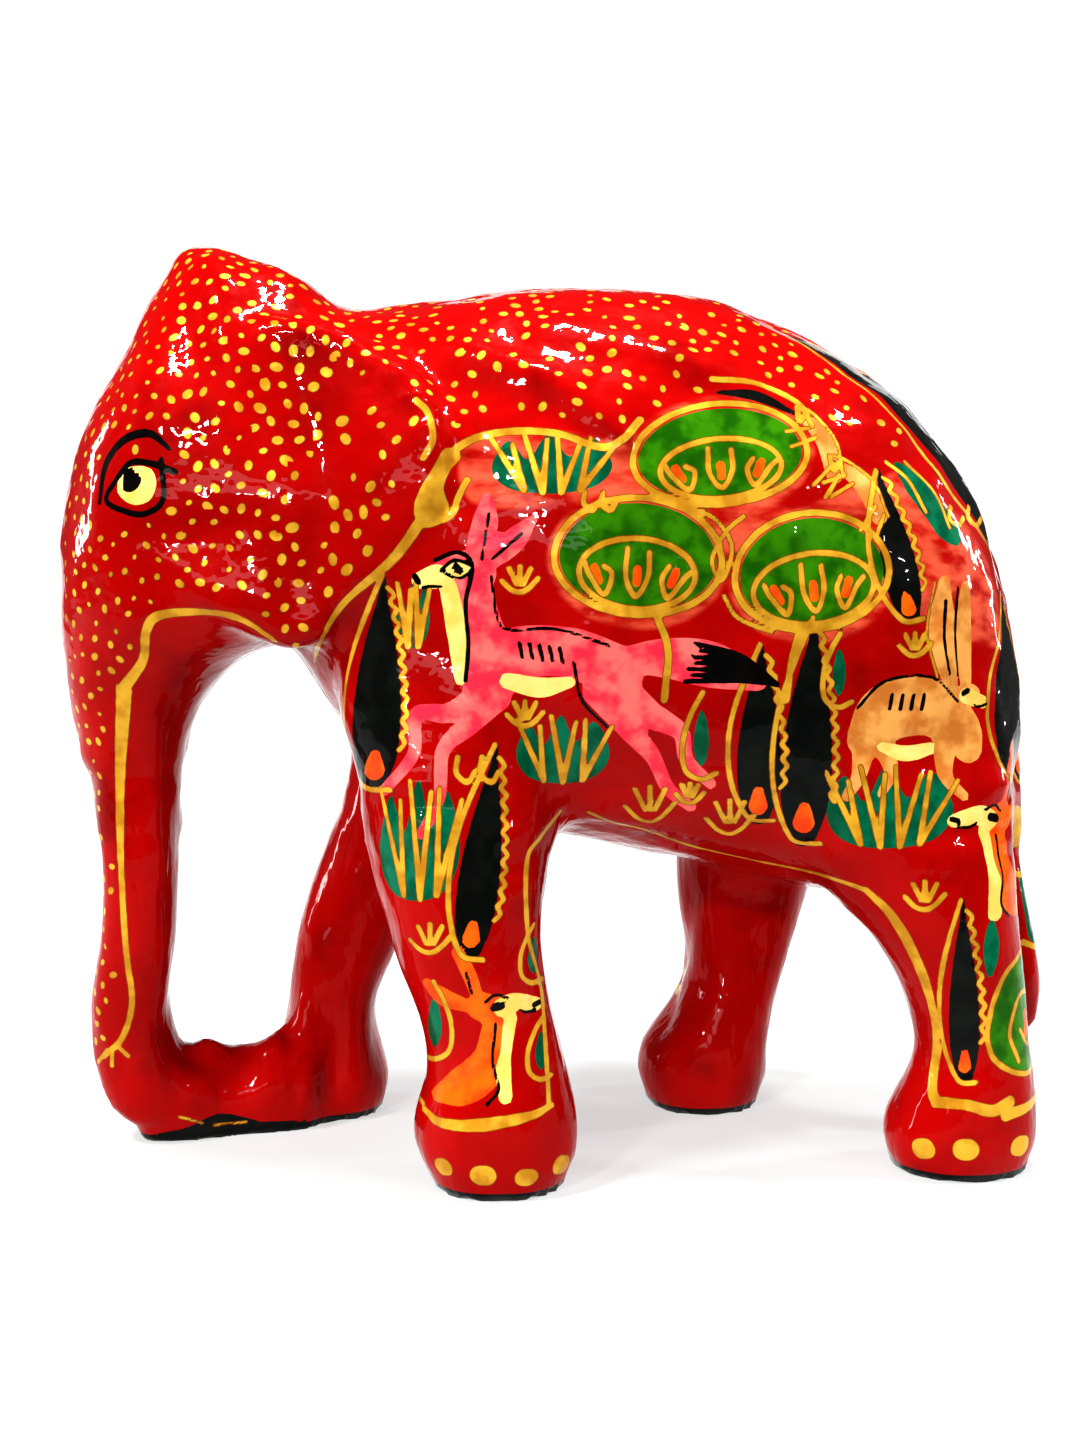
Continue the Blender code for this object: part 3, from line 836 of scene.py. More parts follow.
SOLE_MARKS = [((180, 1117), (202, 1123)), ((214, 1125), (246, 1122))]
NEAR_BORDERS = [
    (JAW, [1.0, 1.2, 1.4, 1.6, 1.4, 2.0]),
    (TRUNK_LINE, [2.6, 1.6, 1.2, 1.1, 1.1]),
    *((tip, 0.9) for tip in TRUNK_TIPS),
    (EAR_LINE, [1.8, 1.5, 1.1, 0.8]),
    (EAR_SQUIGGLE, 1.1),
    (SHOULDER_HOOK, 1.1),
    (PANEL_TOP, 1.25),
    (BELLY_LINE[:7], [0.8, 0.8, 0.9, 1.1]),
    (BELLY_LINE[6:], [1.3, 2.1, 2.1, 2.0, 1.9]),
    (FORELEG_LINE, 1.0),
    (FORELEG_HEM, [1.0, 1.7, 2.1, 1.7, 1.0]),
    (HINDLEG_HEM, [1.9, 1.7, 2.0, 2.0]),
    (KNEE_LINE, 0.9),
    *((mark, 0.7) for mark in SOLE_MARKS),
]

for line, width in NEAR_BORDERS:
    stroke("gold", near, line, width)
fill("gold", near, EAR_KNOT)
limb("black", near, CURL_SOLE, [0.8, 1.4, 2.8, 1.8, 1.2, 1.0, 0.8])
print("gold borders:", len(strokes["gold"]), "brush samples so far")

# %% [markdown]
# ## The picture on the near side
# The picture is a wood with running animals. Its broad areas follow the photograph: three round trees over
# the flank, cypresses between them, deer in front, grass along the belly. Washes of salmon pink lie under
# the trees, so they are drawn first.

# %% Washes and trees
TREE_HIGH = (720, 457)
TREE_FRONT = (638, 560)
TREE_REAR = (812, 575)
LEG_TREE = [(536, 954), (566, 946), (592, 960), (604, 992), (598, 1030), (574, 1056), (542, 1058),
            (518, 1038), (513, 1002), (520, 968)]
LEG_TREE_HEART = [(540, 1046), (531, 1016), (544, 986), (574, 990), (580, 1016), (560, 1034), (544, 1018)]
TREE_GAP_LOOP = [(690, 508), (716, 520), (732, 548), (722, 580), (712, 560), (726, 532), (744, 516)]
RIM_LEAF = [(894, 462), (917, 474), (941, 502), (961, 534), (957, 546), (940, 537), (925, 516), (906, 490)]
RIM_BLADES = [[(886, 462), (908, 480), (926, 512)], [(905, 462), (934, 492), (950, 528)]]
LEG_LEAF = [(992, 918), (999, 936), (998, 960), (990, 979), (984, 962), (985, 936)]
WASHES = [
    [(470, 440), (560, 432), (640, 452), (640, 500), (560, 508), (470, 500)],
    [(690, 520), (740, 505), (800, 508), (880, 480), (900, 520), (880, 560), (740, 560)],
    [(885, 480), (940, 500), (985, 560), (1000, 640), (960, 640), (905, 610)],
]
TREE_RIM = [(712, 379), (755, 383), (798, 403), (812, 426)]
TREE_ROOT = [(724, 596), (738, 618), (772, 632)]
TREE_SHADE = [(716, 392), (756, 396), (796, 414)]
CYPRESSES = [
    ((762, 645), (758, 812), 6.6),
    ((815, 618), (803, 832), 7.6),
    ((878, 470), (910, 614), 5.2),
    ((497, 745), (470, 948), 6.2),
    ((963, 900), (965, 1074), 4.6),
    ((384, 575), (374, 779), 7.2),
]

for wash in WASHES:
    fill("salmon", near, wash)
round_tree(near, TREE_HIGH, 24.5, 14.4, 0.08)
round_tree(near, TREE_FRONT, 23.5, 17, -0.06, stem=[(655, 612), (668, 650), (664, 700)])
round_tree(near, TREE_REAR, 21.5, 17, 0.12, inner=0.84, stem=[(800, 630), (792, 660), (786, 700)])
for tip, foot, width in CYPRESSES:
    cypress(near, tip, foot, width)

fill("leaf", hip, LEG_TREE)
stroke("gold", hip, LEG_TREE, 1.0, closed=True)
stroke("gold", hip, LEG_TREE_HEART, 0.9)
limb("orange", hip, [(556, 1004), (558, 1022)], [1.2, 1.8])
fill("pine", near, LEG_LEAF)
stroke("gold", near, TREE_RIM, 1.0)
stroke("gold", near, TREE_GAP_LOOP, 0.8)
fill("pine", near, RIM_LEAF)
for blade in RIM_BLADES:
    stroke("fine_gold", near, blade, 0.8)
stroke("gold", near, TREE_ROOT, 0.8)
limb("black", near, TREE_SHADE, [0.5, 1.5, 0.5])
print("washes:", len(WASHES), "cypresses:", len(CYPRESSES))

# %% Grass, sprigs and leaves
GRASS = [((552, 486), 18, 8.0, 4), ((563, 775), 14, 9.0, 3), ((890, 838), 19, 11.0, 4),
         ((420, 886), 12, 16.0, 3), ((413, 640), 5, 9.0, 2)]
SPRIGS = [((520, 588), 0.9), ((525, 722), 0.9), ((650, 816), 1.25), ((730, 828), 1.2), ((915, 652), 0.8),
          ((925, 905), 1.0), ((430, 948), 1.0), ((690, 800), 0.7)]
LOOPED_LEAVES = [((700, 738), 1.35, 1), ((838, 672), 1.15, 1), ((436, 1022), 1.2, -1), ((532, 955), 0.9, 1),
                 ((540, 1050), 0.95, 1)]
CURLS = [((478, 775), 1.2), ((600, 505), 0.9), ((966, 520), 0.9)]

for at, width, height, blades in GRASS:
    grass(near, at, width, height, blades)
for at, size in SPRIGS:
    sprig(near, at, size)
for at, size, flip in LOOPED_LEAVES:
    looped_leaf(near, at, size, flip)
for at, size in CURLS:
    curls(near, at, size)
print("clumps of grass:", len(GRASS), "sprigs:", len(SPRIGS))

# %% Animals of the near side
DEER = (530, 650)
HARE = (915, 712)
FAWN = (530, 850)
LEG_FAWN = (490, 1040)
RUNNERS = [((822, 450), -1.0), ((862, 494), -0.8)]

running_deer(near, DEER, 1.0)
hare(near, HARE, 1.0, flip=-1)
resting_fawn(hip, FAWN, 1.0, rest=4.0)
resting_fawn(near, LEG_FAWN, 1.05, rest=7.0, flip=-1)
for at, turn in RUNNERS:
    small_runner(near, at, 0.85, turn)
print("marks on the near side and both eyes:", sum(len(s) for s in shapes.values()), "shapes")

# %% [markdown]
# ## The far side, the rump and the back
# The photograph doesn't show these. They are finished in the same manner and plainer: the same borders,
# trees and animals, in a looser layout, each placed for the far side's own legs.

# %% Paint the far side
FAR_TRUNK_LINE = [(143, 660), (132, 700), (138, 780), (146, 870), (150, 950), (148, 1010), (134, 1046)]
FAR_BELLY_LINE = [(498, 792), (560, 806), (640, 822), (698, 842), (722, 872), (738, 930), (744, 1000),
                  (722, 1052)]
FAR_HINDLEG_HEM = [(722, 1052), (744, 1064), (776, 1060), (804, 1042)]
FAR_FORELEG_BACK = [(498, 792), (472, 840), (444, 890), (412, 940), (388, 990), (370, 1050)]
FAR_FORELEG_FRONT = [(364, 740), (356, 800), (336, 870), (311, 940), (299, 1000), (288, 1060)]
FAR_FORELEG_HEM = [(288, 1060), (312, 1078), (346, 1074), (370, 1050)]
FAR_TREES = [((610, 455), 22, 13, 0.05), ((742, 505), 24, 15, -0.12)]
FAR_CYPRESSES = [((806, 592), (800, 772), 6.6), ((932, 500), (948, 640), 4.6), ((416, 612), (412, 762), 5.2),
                 ((798, 905), (790, 1036), 4.6)]
FAR_GRASS = [((520, 486), 10, 8.0, 3), ((640, 796), 15, 8.0, 3), ((812, 858), 16, 9.5, 4),
             ((400, 880), 9, 11.0, 3)]
FAR_SPRIGS = [((500, 590), 0.8), ((720, 786), 1.0), ((880, 800), 1.0), ((765, 930), 0.8), ((860, 480), 0.8)]
FAR_DEER = (548, 645)
FAR_HARE = (880, 718)
FAR_FAWN = (344, 1010)

stroke("gold", far, JAW, 1.2)
stroke("gold", far, FAR_TRUNK_LINE, [1.2, 2.2, 1.8, 1.4, 1.2])
stroke("gold", far, EAR_LINE, 1.3)
stroke("gold", far, PANEL_TOP, 1.2)
for border in (FAR_BELLY_LINE, FAR_FORELEG_BACK, FAR_FORELEG_FRONT):
    stroke("gold", far, border, [0.9, 1.0, 1.2, 1.6])
for hem in (FAR_HINDLEG_HEM, FAR_FORELEG_HEM):
    stroke("gold", far, hem, 1.7)
for at, width, height, turn in FAR_TREES:
    round_tree(far, at, width, height, turn)
for tip, foot, width in FAR_CYPRESSES:
    cypress(far, tip, foot, width)
for at, width, height, blades in FAR_GRASS:
    grass(far, at, width, height, blades)
for at, size in FAR_SPRIGS:
    sprig(far, at, size)
running_deer(far, FAR_DEER, 0.95)
hare(far, FAR_HARE, 0.95, flip=-1)
resting_fawn(far, FAR_FAWN, 0.75, rest=3.0, flip=-1)
print("marks on both sides:", sum(len(s) for s in shapes.values()), "shapes")

# %% Paint the rump, the tail and the back
RUMP_CYPRESSES = [((452, 530), (462, 800), 14.0), ((632, 550), (624, 800), 11.0)]
HIP_CYPRESSES = [((572, 618), (566, 780), 10.6), ((666, 600), (684, 790), 7.6)]
FAR_HIP_CYPRESSES = [((592, 610), (580, 780), 7.6)]
TAIL_BLOB = [(632, 826), (664, 820), (690, 832), (686, 856), (650, 860)]
TAIL_GREEN = [(674, 892), (670, 944)]
TAIL_RINGS = [[(648, 882), (668, 888), (690, 880)], [(650, 952), (670, 960), (688, 954)]]
REAR_SPRIGS = [((545, 610), 1.1), ((545, 700), 1.0), ((610, 880), 1.0)]
SPINE_FLOWERS = [((620, 724), 1.0), ((690, 700), 0.8), ((690, 748), 0.8), ((760, 724), 0.9)]
FAR_LEG_TREE = (456, 930)

for tip, foot, width in RUMP_CYPRESSES:
    cypress(rear, tip, foot, width)
for tip, foot, width in HIP_CYPRESSES:
    cypress(hip, tip, foot, width)
for tip, foot, width in FAR_HIP_CYPRESSES:
    cypress(far_hip, tip, foot, width)
fill("gold", hip, TAIL_BLOB)
limb("pine", hip, TAIL_GREEN, [3.6, 3.6])
for band in TAIL_RINGS:
    stroke("gold", hip, band, 1.2)
stroke("gold", hip, HEM_BEHIND, [2.0, 1.5, 1.2])
round_tree(far_hip, FAR_LEG_TREE, 11, 14)
for at, size in REAR_SPRIGS:
    sprig(rear, at, size)
for at, size in SPINE_FLOWERS:
    fill("pine", top, around(at, [(-2.2, 0), (0, 1.1), (2.2, 0), (0, -1.1)], size))
    stroke("gold", top, around(at, [(-3.0, 0), (0, 1.8), (3.0, 0), (0, -1.8)], size), 0.8, closed=True)
print("all marks:", sum(len(s) for s in shapes.values()), "shapes and",
      sum(len(s) for s in strokes.values()), "stroke samples")

# %% [markdown]
# ## Toes
# Each foot has a row of round gold toenails above its black sole. Those of the left feet are where the
# photograph shows them. A loop puts the others at even angles round the foot, by a line of sight from
# outside towards its middle.

# %% Gold toenails
TOE_HEIGHT = 4.6 * MM
TOE_SIZE = 3.1
CAST_FROM = 40 * MM
LEFT_TOES = [((419, 1159), 2.0), ((443, 1167), 2.9), ((483, 1176), 3.4), ((527, 1178), 3.1),
             ((562, 1165), 3.1), ((923, 1149), 3.3), ((966, 1150), 3.5), ((1021, 1146), 3.4)]
RIGHT_FEET = {"right fore": ((-38.5, 20.0), (60, 95, 130)), "right hind": ((26.3, 18.1), (40, 80, 120, 165))}

for (x, y), size in LEFT_TOES:
    stroke("gold", near, [(x - 2, y), (x + 2, y)], size)
for middle, angles in RIGHT_FEET.values():
    for angle in angles:
        out = Vector((math.cos(math.radians(angle)), math.sin(math.radians(angle)), 0))
        start = Vector((middle[0] * MM, middle[1] * MM, TOE_HEIGHT)) + out * CAST_FROM
        hit = body_tree.ray_cast(start, -out)[0]
        if hit is not None:
            strokes["gold"].append((hit, TOE_SIZE / 2 * MM))
print("toenails:", len(LEFT_TOES), "on the left feet")

# %% [markdown]
# ## Measuring paint
# A stroke is measured from its nearest sample in space. A filled outline is a test of inside and outside in
# its view's pixels, and a limb is the distance from its middle line less its half width there.

# %% Distances from strokes, outlines and limbs
FAR_AWAY = 3.0
FACES_VIEW = 0.1
MARGIN = FAR_AWAY * PIXELS_PER_MM


def stroke_distance(layer, points):
    """Each point's distance in metres from the layer's strokes, below zero under one."""
    places = [place for place, _ in strokes[layer]]
    halves = np.array([half for _, half in strokes[layer]])
    distance, which = nearest_distance(points, places)
    return distance - halves[which]


def outline_distance(pixels, outline):
    """Distance in pixels from a closed outline, below zero inside it."""
    nearest = np.full(len(pixels), np.inf)
    inside = np.zeros(len(pixels), bool)
    for start, end in zip(outline, np.roll(outline, -1, 0)):
        along = end - start
        share = np.clip((pixels - start) @ along / max(along @ along, 1e-9), 0, 1)
        nearest = np.minimum(nearest, np.linalg.norm(pixels - start - share[:, None] * along, axis=1))
        if start[1] != end[1]:
            crosses = (start[1] > pixels[:, 1]) != (end[1] > pixels[:, 1])
            inside ^= crosses & (pixels[:, 0] < start[0] + (pixels[:, 1] - start[1]) * along[0] / along[1])
    return np.where(inside, -nearest, nearest)


def limb_distance(pixels, line, halves):
    """Distance in pixels from a line with a width at each point."""
    nearest = np.full(len(pixels), np.inf)
    for start, end, thick, thin in zip(line, line[1:], halves, halves[1:]):
        along = end - start
        share = np.clip((pixels - start) @ along / max(along @ along, 1e-9), 0, 1)
        gap = np.linalg.norm(pixels - start - share[:, None] * along, axis=1)
        nearest = np.minimum(nearest, gap - thick - (thin - thick) * share)
    return nearest


print("a layer's distance is kept up to", FAR_AWAY, "mm")


# %% Measure one layer
def looked_at(points, normals):
    """For each view, the points' pixels and depths there, and which of them it can paint."""
    seen = {}
    for view in (near, far, hip, far_hip, rear, top):
        pixels, depth = view.project(points)
        to_eye = view.eye - points
        to_eye /= np.linalg.norm(to_eye, axis=1)[:, None]
        seen[view] = pixels, depth, ((normals * to_eye).sum(1) > FACES_VIEW) & view.sees(points)
    return seen


def measure(layer, points, seen):
    """One number for each point: mm outside the layer's marks, below zero inside."""
    value = np.full(len(points), FAR_AWAY)
    for view, line, halves in shapes[layer]:
        pixels, depth, paintable = seen[view]
        wide = MARGIN + (0 if halves is None else halves.max())
        near_by = paintable & ((pixels > line.min(0) - wide) & (pixels < line.max(0) + wide)).all(1)
        hit = on_body(view, line.mean(0)) or on_body(view, line[0])
        if hit is not None:
            middle_depth = view.project(np.array([hit]))[1][0]
            near_by &= abs(depth - middle_depth) < REACH
        chosen = np.flatnonzero(near_by)
        if halves is None:
            distance = outline_distance(pixels[chosen], line)
        else:
            distance = limb_distance(pixels[chosen], line, halves)
        value[chosen] = np.minimum(value[chosen], distance / PIXELS_PER_MM)
    if strokes[layer]:
        value = np.minimum(value, stroke_distance(layer, points) / MM)
    return value


print("most marks in one layer:", max(len(s) for s in shapes.values()))

# %% [markdown]
# ## A finer mesh where the brush went
# A line one millimetre wide needs points closer than that. Making the whole body that fine would take half
# a million faces, so the squares near an edge of paint are divided once, and those near a line twice.

# %% Divide the squares near paint and lines
NEAR_PAINT = 0.65
NEAR_LINE = 0.78
ON_LINE = 0.39


def shape_arrays(shape):
    shape.normal_update()
    return np.array([v.co[:] for v in shape.verts]), np.array([v.normal[:] for v in shape.verts])


def divide(shape, close):
    """Cuts every edge that has a close end in two."""
    shape.verts.index_update()
    chosen = [e for e in shape.edges if close[e.verts[0].index] or close[e.verts[1].index]]
    bmesh.ops.subdivide_edges(shape, edges=chosen, cuts=1, use_grid_fill=True)


shape = bmesh.new()
shape.from_mesh(even_mesh)
points, normals = shape_arrays(shape)
seen = looked_at(points, normals)
paint_edge = np.min([abs(measure(layer, points, seen)) for layer in PAINTS[1:]], 0)
line_edge = np.min([measure(layer, points, seen) for layer in LINES], 0)
divide(shape, (paint_edge < NEAR_PAINT) | (line_edge < NEAR_LINE))
points, normals = shape_arrays(shape)
line_edge = np.min([stroke_distance(layer, points) for layer in LINES], 0) / MM
divide(shape, line_edge < ON_LINE)
bmesh.ops.triangulate(shape, faces=[f for f in shape.faces if len(f.verts) > 4])
fine_mesh = bpy.data.meshes.new("elephant_skin")
shape.to_mesh(fine_mesh)
shape.free()
points, edges = arrays_of(fine_mesh)
fine_mesh.vertices.foreach_set("co", flat_soles(soften(points, edges, 2)).ravel())
fine_mesh.update()
points, _ = arrays_of(fine_mesh)
normals = normals_of(fine_mesh)
triangles = sum(len(p.vertices) - 2 for p in fine_mesh.polygons)
print("painted mesh:", triangles, "triangles")

# %% [markdown]
# ## From brush marks to numbers
# Each layer is now measured once more, from every point of the finer mesh, and stored under its name.

# %% Measure every layer
seen = looked_at(points, normals)
measured = {layer: measure(layer, points, seen) for layer in LAYERS}
for layer, value in measured.items():
    made = fine_mesh.attributes.new(layer, "FLOAT", "POINT")
    made.data.foreach_set("value", value.astype(np.float32))
    print(f"{layer}: {100 * (value < 0).mean():.1f}% of the points")

# %% [markdown]
# ## Where the dots go
# Gold dots cover the face, ears, trunk and back, down to the picture's upper border. One more number says
# how many dots a place gets, which is fewer behind the head, and another how large they are: the ears have
# the largest and the front of the face the smallest.

# %% Mark the dotted skin
DOTTED = [(0, 1100), (60, 1090), (100, 1040), (117, 960), (110, 870), (108, 780), (112, 690), (130, 650),
          (136, 618), (160, 604), (205, 600), (242, 606), (268, 628), (296, 660), (308, 640), (334, 598),
          (384, 552), (408, 518), (404, 498), (420, 468), (424, 452), (436, 440), (462, 434), (520, 420),
          (570, 422), (610, 434), (628, 414), (700, 392), (760, 392), (800, 384), (850, 412), (885, 450),
          (905, 462), (960, 460), (1000, 400), (800, 150), (0, 150)]
EAR_PATCH = [(262, 322), (320, 348), (372, 392), (420, 420), (425, 480), (404, 520), (350, 585), (312, 640),
             (280, 640), (262, 560), (262, 440)]
DOT_MARGIN = 0.9
DOTS_START = 0.4
TOP_SLOPE, TOP_HEIGHT, TOP_END = 0.25, 108 * MM, 40 * MM
FACE_SLOPE, FACE_HEIGHT, FACE_END = -0.3, 18 * MM, -58 * MM
TRUNK_END, TRUNK_TOP = -50 * MM, 58 * MM
BACK_START, BACK_SHARE = -38 * MM, 0.62
EAR_DOTS, TRUNK_DOTS, FACE_DOTS = 1.2, 1.0, 0.85


def patch(outline, view):
    pixels, _, paintable = seen[view]
    distance = outline_distance(pixels, np.array(outline, float)) / PIXELS_PER_MM
    return np.where(paintable, distance, FAR_AWAY)


dotted_skin = np.minimum(patch(DOTTED, near), patch(DOTTED, far))
in_front = points[:, 0] < FACE_END
on_top = (normals[:, 2] > TOP_SLOPE) & (points[:, 2] > TOP_HEIGHT) & (points[:, 0] < TOP_END)
on_face = in_front & (points[:, 2] > FACE_HEIGHT) & (normals[:, 0] < FACE_SLOPE)
dotted = ((dotted_skin < -DOT_MARGIN * DOTS_START) | on_top | on_face).astype(float)
painted = np.min([value for layer, value in measured.items() if layer != "salmon"], 0)
dotted *= painted > DOT_MARGIN
on_ear = np.minimum(patch(EAR_PATCH, near), patch(EAR_PATCH, far)) < 0
on_trunk = (points[:, 0] < TRUNK_END) & (points[:, 2] < TRUNK_TOP)
size_of_dots = np.select([on_ear, on_trunk, in_front], [EAR_DOTS, TRUNK_DOTS, FACE_DOTS], 1.0)
thinned = dotted * np.where(points[:, 0] > BACK_START, BACK_SHARE, 1.0)
for name, values in (("dotted", thinned), ("dot_scale", size_of_dots)):
    made = fine_mesh.attributes.new(name, "FLOAT", "POINT")
    made.data.foreach_set("value", values.astype(np.float32))
print(f"dotted: {100 * dotted.mean():.0f}% of the points")

# %% [markdown]
# ## Sowing the dots with Geometry Nodes
# Scattered things that must keep apart are what Poisson disks are for. The tree spreads points over the
# dotted skin, and each face then stores the place of the point nearest to it, with that dot's size and the
# way it leans. The shader measures from there, so a dot has a clean edge whatever the mesh is like.

# %% The tree's inputs
DOT_SPACING = 2.35 * MM
SMALLEST_DOT = 0.42 * MM
LARGEST_DOT = 0.72 * MM
DOT_LEAN = 0.5
MOST_DOTS_PER_M2 = 1.5e6


def add_input(tree, name, kind, value):
    item = tree.interface.new_socket(name, in_out="INPUT", socket_type=kind)
    item.default_value = value
    return item


dots_tree = bpy.data.node_groups.new("sow dots", "GeometryNodeTree")
dots_tree.interface.new_socket("Geometry", in_out="INPUT", socket_type="NodeSocketGeometry")
SIZES = [("Spacing", "NodeSocketFloat", DOT_SPACING), ("Smallest", "NodeSocketFloat", SMALLEST_DOT),
         ("Largest", "NodeSocketFloat", LARGEST_DOT), ("Lean", "NodeSocketFloat", DOT_LEAN),
         ("Seed", "NodeSocketInt", SEED)]
size_inputs = [(add_input(dots_tree, name, kind, value), value) for name, kind, value in SIZES]
material_input = dots_tree.interface.new_socket("Material", in_out="INPUT", socket_type="NodeSocketMaterial")
dots_tree.interface.new_socket("Geometry", in_out="OUTPUT", socket_type="NodeSocketGeometry")
print("inputs:", [item.name for item, _ in size_inputs])

# %% Build the tree

def node(tree, kind, inputs=None, **settings):
    """Adds a node, sets its options, and fills or links its inputs."""
    made = tree.nodes.new(kind)
    for name, value in settings.items():
        setattr(made, name, value)
    for socket, value in (inputs or {}).items():
        if isinstance(value, bpy.types.NodeSocket):
            tree.links.new(value, made.inputs[socket])
        else:
            made.inputs[socket].default_value = value
    return made


outside = node(dots_tree, "NodeGroupInput").outputs
factor, scale = (node(dots_tree, "GeometryNodeInputNamedAttribute", {"Name": name},
                      data_type="FLOAT").outputs[0] for name in ("dotted", "dot_scale"))
sown = node(dots_tree, "GeometryNodeDistributePointsOnFaces",
            {"Mesh": outside["Geometry"], "Distance Min": outside["Spacing"], "Density Max": MOST_DOTS_PER_M2,
             "Density Factor": factor, "Seed": outside["Seed"]}, distribute_method="POISSON")
radius = node(dots_tree, "FunctionNodeRandomValue", data_type="FLOAT")
dots_tree.links.new(outside["Smallest"], radius.inputs[2])
dots_tree.links.new(outside["Largest"], radius.inputs[3])
dots_tree.links.new(outside["Seed"], radius.inputs["Seed"])
radius_scaled = node(dots_tree, "ShaderNodeMath", {0: radius.outputs[1], 1: scale}, operation="MULTIPLY")
way = node(dots_tree, "FunctionNodeRandomValue", data_type="FLOAT_VECTOR")
way.inputs[0].default_value = (-1, -1, -1)
way.inputs[1].default_value = (1, 1, 1)
across = node(dots_tree, "ShaderNodeVectorMath", {0: way.outputs[0], 1: sown.outputs["Normal"]},
              operation="CROSS_PRODUCT")
unit = node(dots_tree, "ShaderNodeVectorMath", {0: across.outputs[0]}, operation="NORMALIZE")
leaning = node(dots_tree, "ShaderNodeVectorMath", {0: unit.outputs[0], "Scale": outside["Lean"]},
               operation="SCALE")
keep_radius = node(dots_tree, "GeometryNodeStoreNamedAttribute",
                   {"Geometry": sown.outputs["Points"], "Name": "radius_of_dot",
                    "Value": radius_scaled.outputs[0]},
                   data_type="FLOAT", domain="POINT")
keep_lean = node(dots_tree, "GeometryNodeStoreNamedAttribute",
                 {"Geometry": keep_radius.outputs[0], "Name": "lean_of_dot", "Value": leaning.outputs[0]},
                 data_type="FLOAT_VECTOR", domain="POINT")
nearest_dot = node(dots_tree, "GeometryNodeSampleNearest", {"Geometry": keep_lean.outputs[0]},
                   domain="POINT")
place = node(dots_tree, "GeometryNodeInputPosition").outputs[0]
stored = outside["Geometry"]
for name, kind, source in (("dot_centre", "FLOAT_VECTOR", place), ("dot_radius", "FLOAT", "radius_of_dot"),
                           ("dot_lean", "FLOAT_VECTOR", "lean_of_dot")):
    if isinstance(source, str):
        source = node(dots_tree, "GeometryNodeInputNamedAttribute", {"Name": source},
                      data_type=kind).outputs[0]
    taken = node(dots_tree, "GeometryNodeSampleIndex",
                 {"Geometry": keep_lean.outputs[0], "Value": source, "Index": nearest_dot.outputs[0]},
                 data_type=kind, domain="POINT")
    stored = node(dots_tree, "GeometryNodeStoreNamedAttribute",
                  {"Geometry": stored, "Name": name, "Value": taken.outputs[0]},
                  data_type=kind, domain="FACE").outputs[0]
real = node(dots_tree, "GeometryNodeRealizeInstances", {"Geometry": stored})
dressed = node(dots_tree, "GeometryNodeSetMaterial",
               {"Geometry": real.outputs[0], "Material": outside["Material"]})
node(dots_tree, "NodeGroupOutput", {"Geometry": dressed.outputs[0]})
print("tree has", len(dots_tree.nodes), "nodes")

# %% [markdown]
# ## The painted and varnished skin
# One material holds the whole finish. Its base is the red lacquer, cloudy where the brush ran thin. Each
# layer is laid over it where its number falls below zero, with a little noise added so that edges waver
# as a brush does. The gloss is one clear coat over everything, which is why every colour shines alike.

# %% Colours
def colour(red, green, blue):
    """A screen colour of 0 to 255 as the linear colour that shaders use."""
    return (*(((c / 255 + 0.055) / 1.055) ** 2.4 if c > 10 else c / 255 / 12.92
              for c in (red, green, blue)), 1)


RED = colour(155, 2, 1)
RED_DEEP = colour(106, 1, 0)
RED_ROSE = colour(169, 6, 4)
GOLD = colour(214, 166, 58)
GOLD_DARK = colour(184, 132, 38)
GOLD_EDGE = colour(120, 62, 14)
TONES = {
    "salmon": (colour(210, 96, 70), colour(166, 20, 12)),
    "black": (colour(18, 20, 18), colour(26, 28, 25)),
    "pine": (colour(0, 84, 58), colour(4, 112, 80)),
    "leaf": (colour(62, 126, 10), colour(34, 92, 4)),
    "orange": (colour(240, 108, 22), colour(220, 74, 20)),
    "pink": (colour(232, 58, 80), colour(242, 118, 112)),
    "tan": (colour(192, 122, 58), colour(222, 162, 92)),
    "cream": (colour(234, 208, 128), colour(226, 190, 98)),
    "ink": (colour(14, 12, 12), colour(22, 18, 16)),
}
print("colours:", len(TONES) + 2, "besides the reds")

# %% Start the material
SOFT_EDGES = {"salmon": 0.55}
EDGE = 0.035
WAVER_MM = 0.09
WAVER_SCALE = 520
CLOUD_SCALE = 55
TONE_SCALE = 260
STREAK_SCALE = 420
GOLD_RIM = (-0.16, -0.04)
GOLD_METAL = 0.22
SOLE_BLACK = 1.3 * MM
BODY_GRAIN = 230
LEG_GRAIN = 330
GRAIN_STRENGTH = 0.7
GRAIN_DEPTH = 0.5 * MM
LEG_GRAIN_BLEND = (50 * MM, 74 * MM)

skin = bpy.data.materials.new("painted_lacquer")
skin.use_nodes = True
tree = skin.node_tree
tree.nodes.clear()
place = node(tree, "ShaderNodeTexCoord").outputs["Object"]


print("material:", skin.name)


# %% Short names for its nodes
def noise_at(scale, detail=2.0, roughness=0.5):
    return node(tree, "ShaderNodeTexNoise", {"Vector": place, "Scale": scale, "Detail": detail,
                                             "Roughness": roughness}).outputs["Fac"]


def between(value, low, high, start=0.0, end=1.0):
    """The value's place between two limits, eased at both ends."""
    return node(tree, "ShaderNodeMapRange",
                {"Value": value, "From Min": low, "From Max": high, "To Min": start, "To Max": end},
                interpolation_type="SMOOTHSTEP").outputs[0]


def arithmetic(operation, first, second):
    return node(tree, "ShaderNodeMath", {0: first, 1: second}, operation=operation).outputs[0]


def mixed(share, below, above):
    mixer = node(tree, "ShaderNodeMix", data_type="RGBA")
    for socket, value in ((0, share), (6, below), (7, above)):
        if isinstance(value, bpy.types.NodeSocket):
            tree.links.new(value, mixer.inputs[socket])
        else:
            mixer.inputs[socket].default_value = value
    return mixer.outputs[2]


def attribute(name, output="Fac"):
    return node(tree, "ShaderNodeAttribute", attribute_name=name).outputs[output]


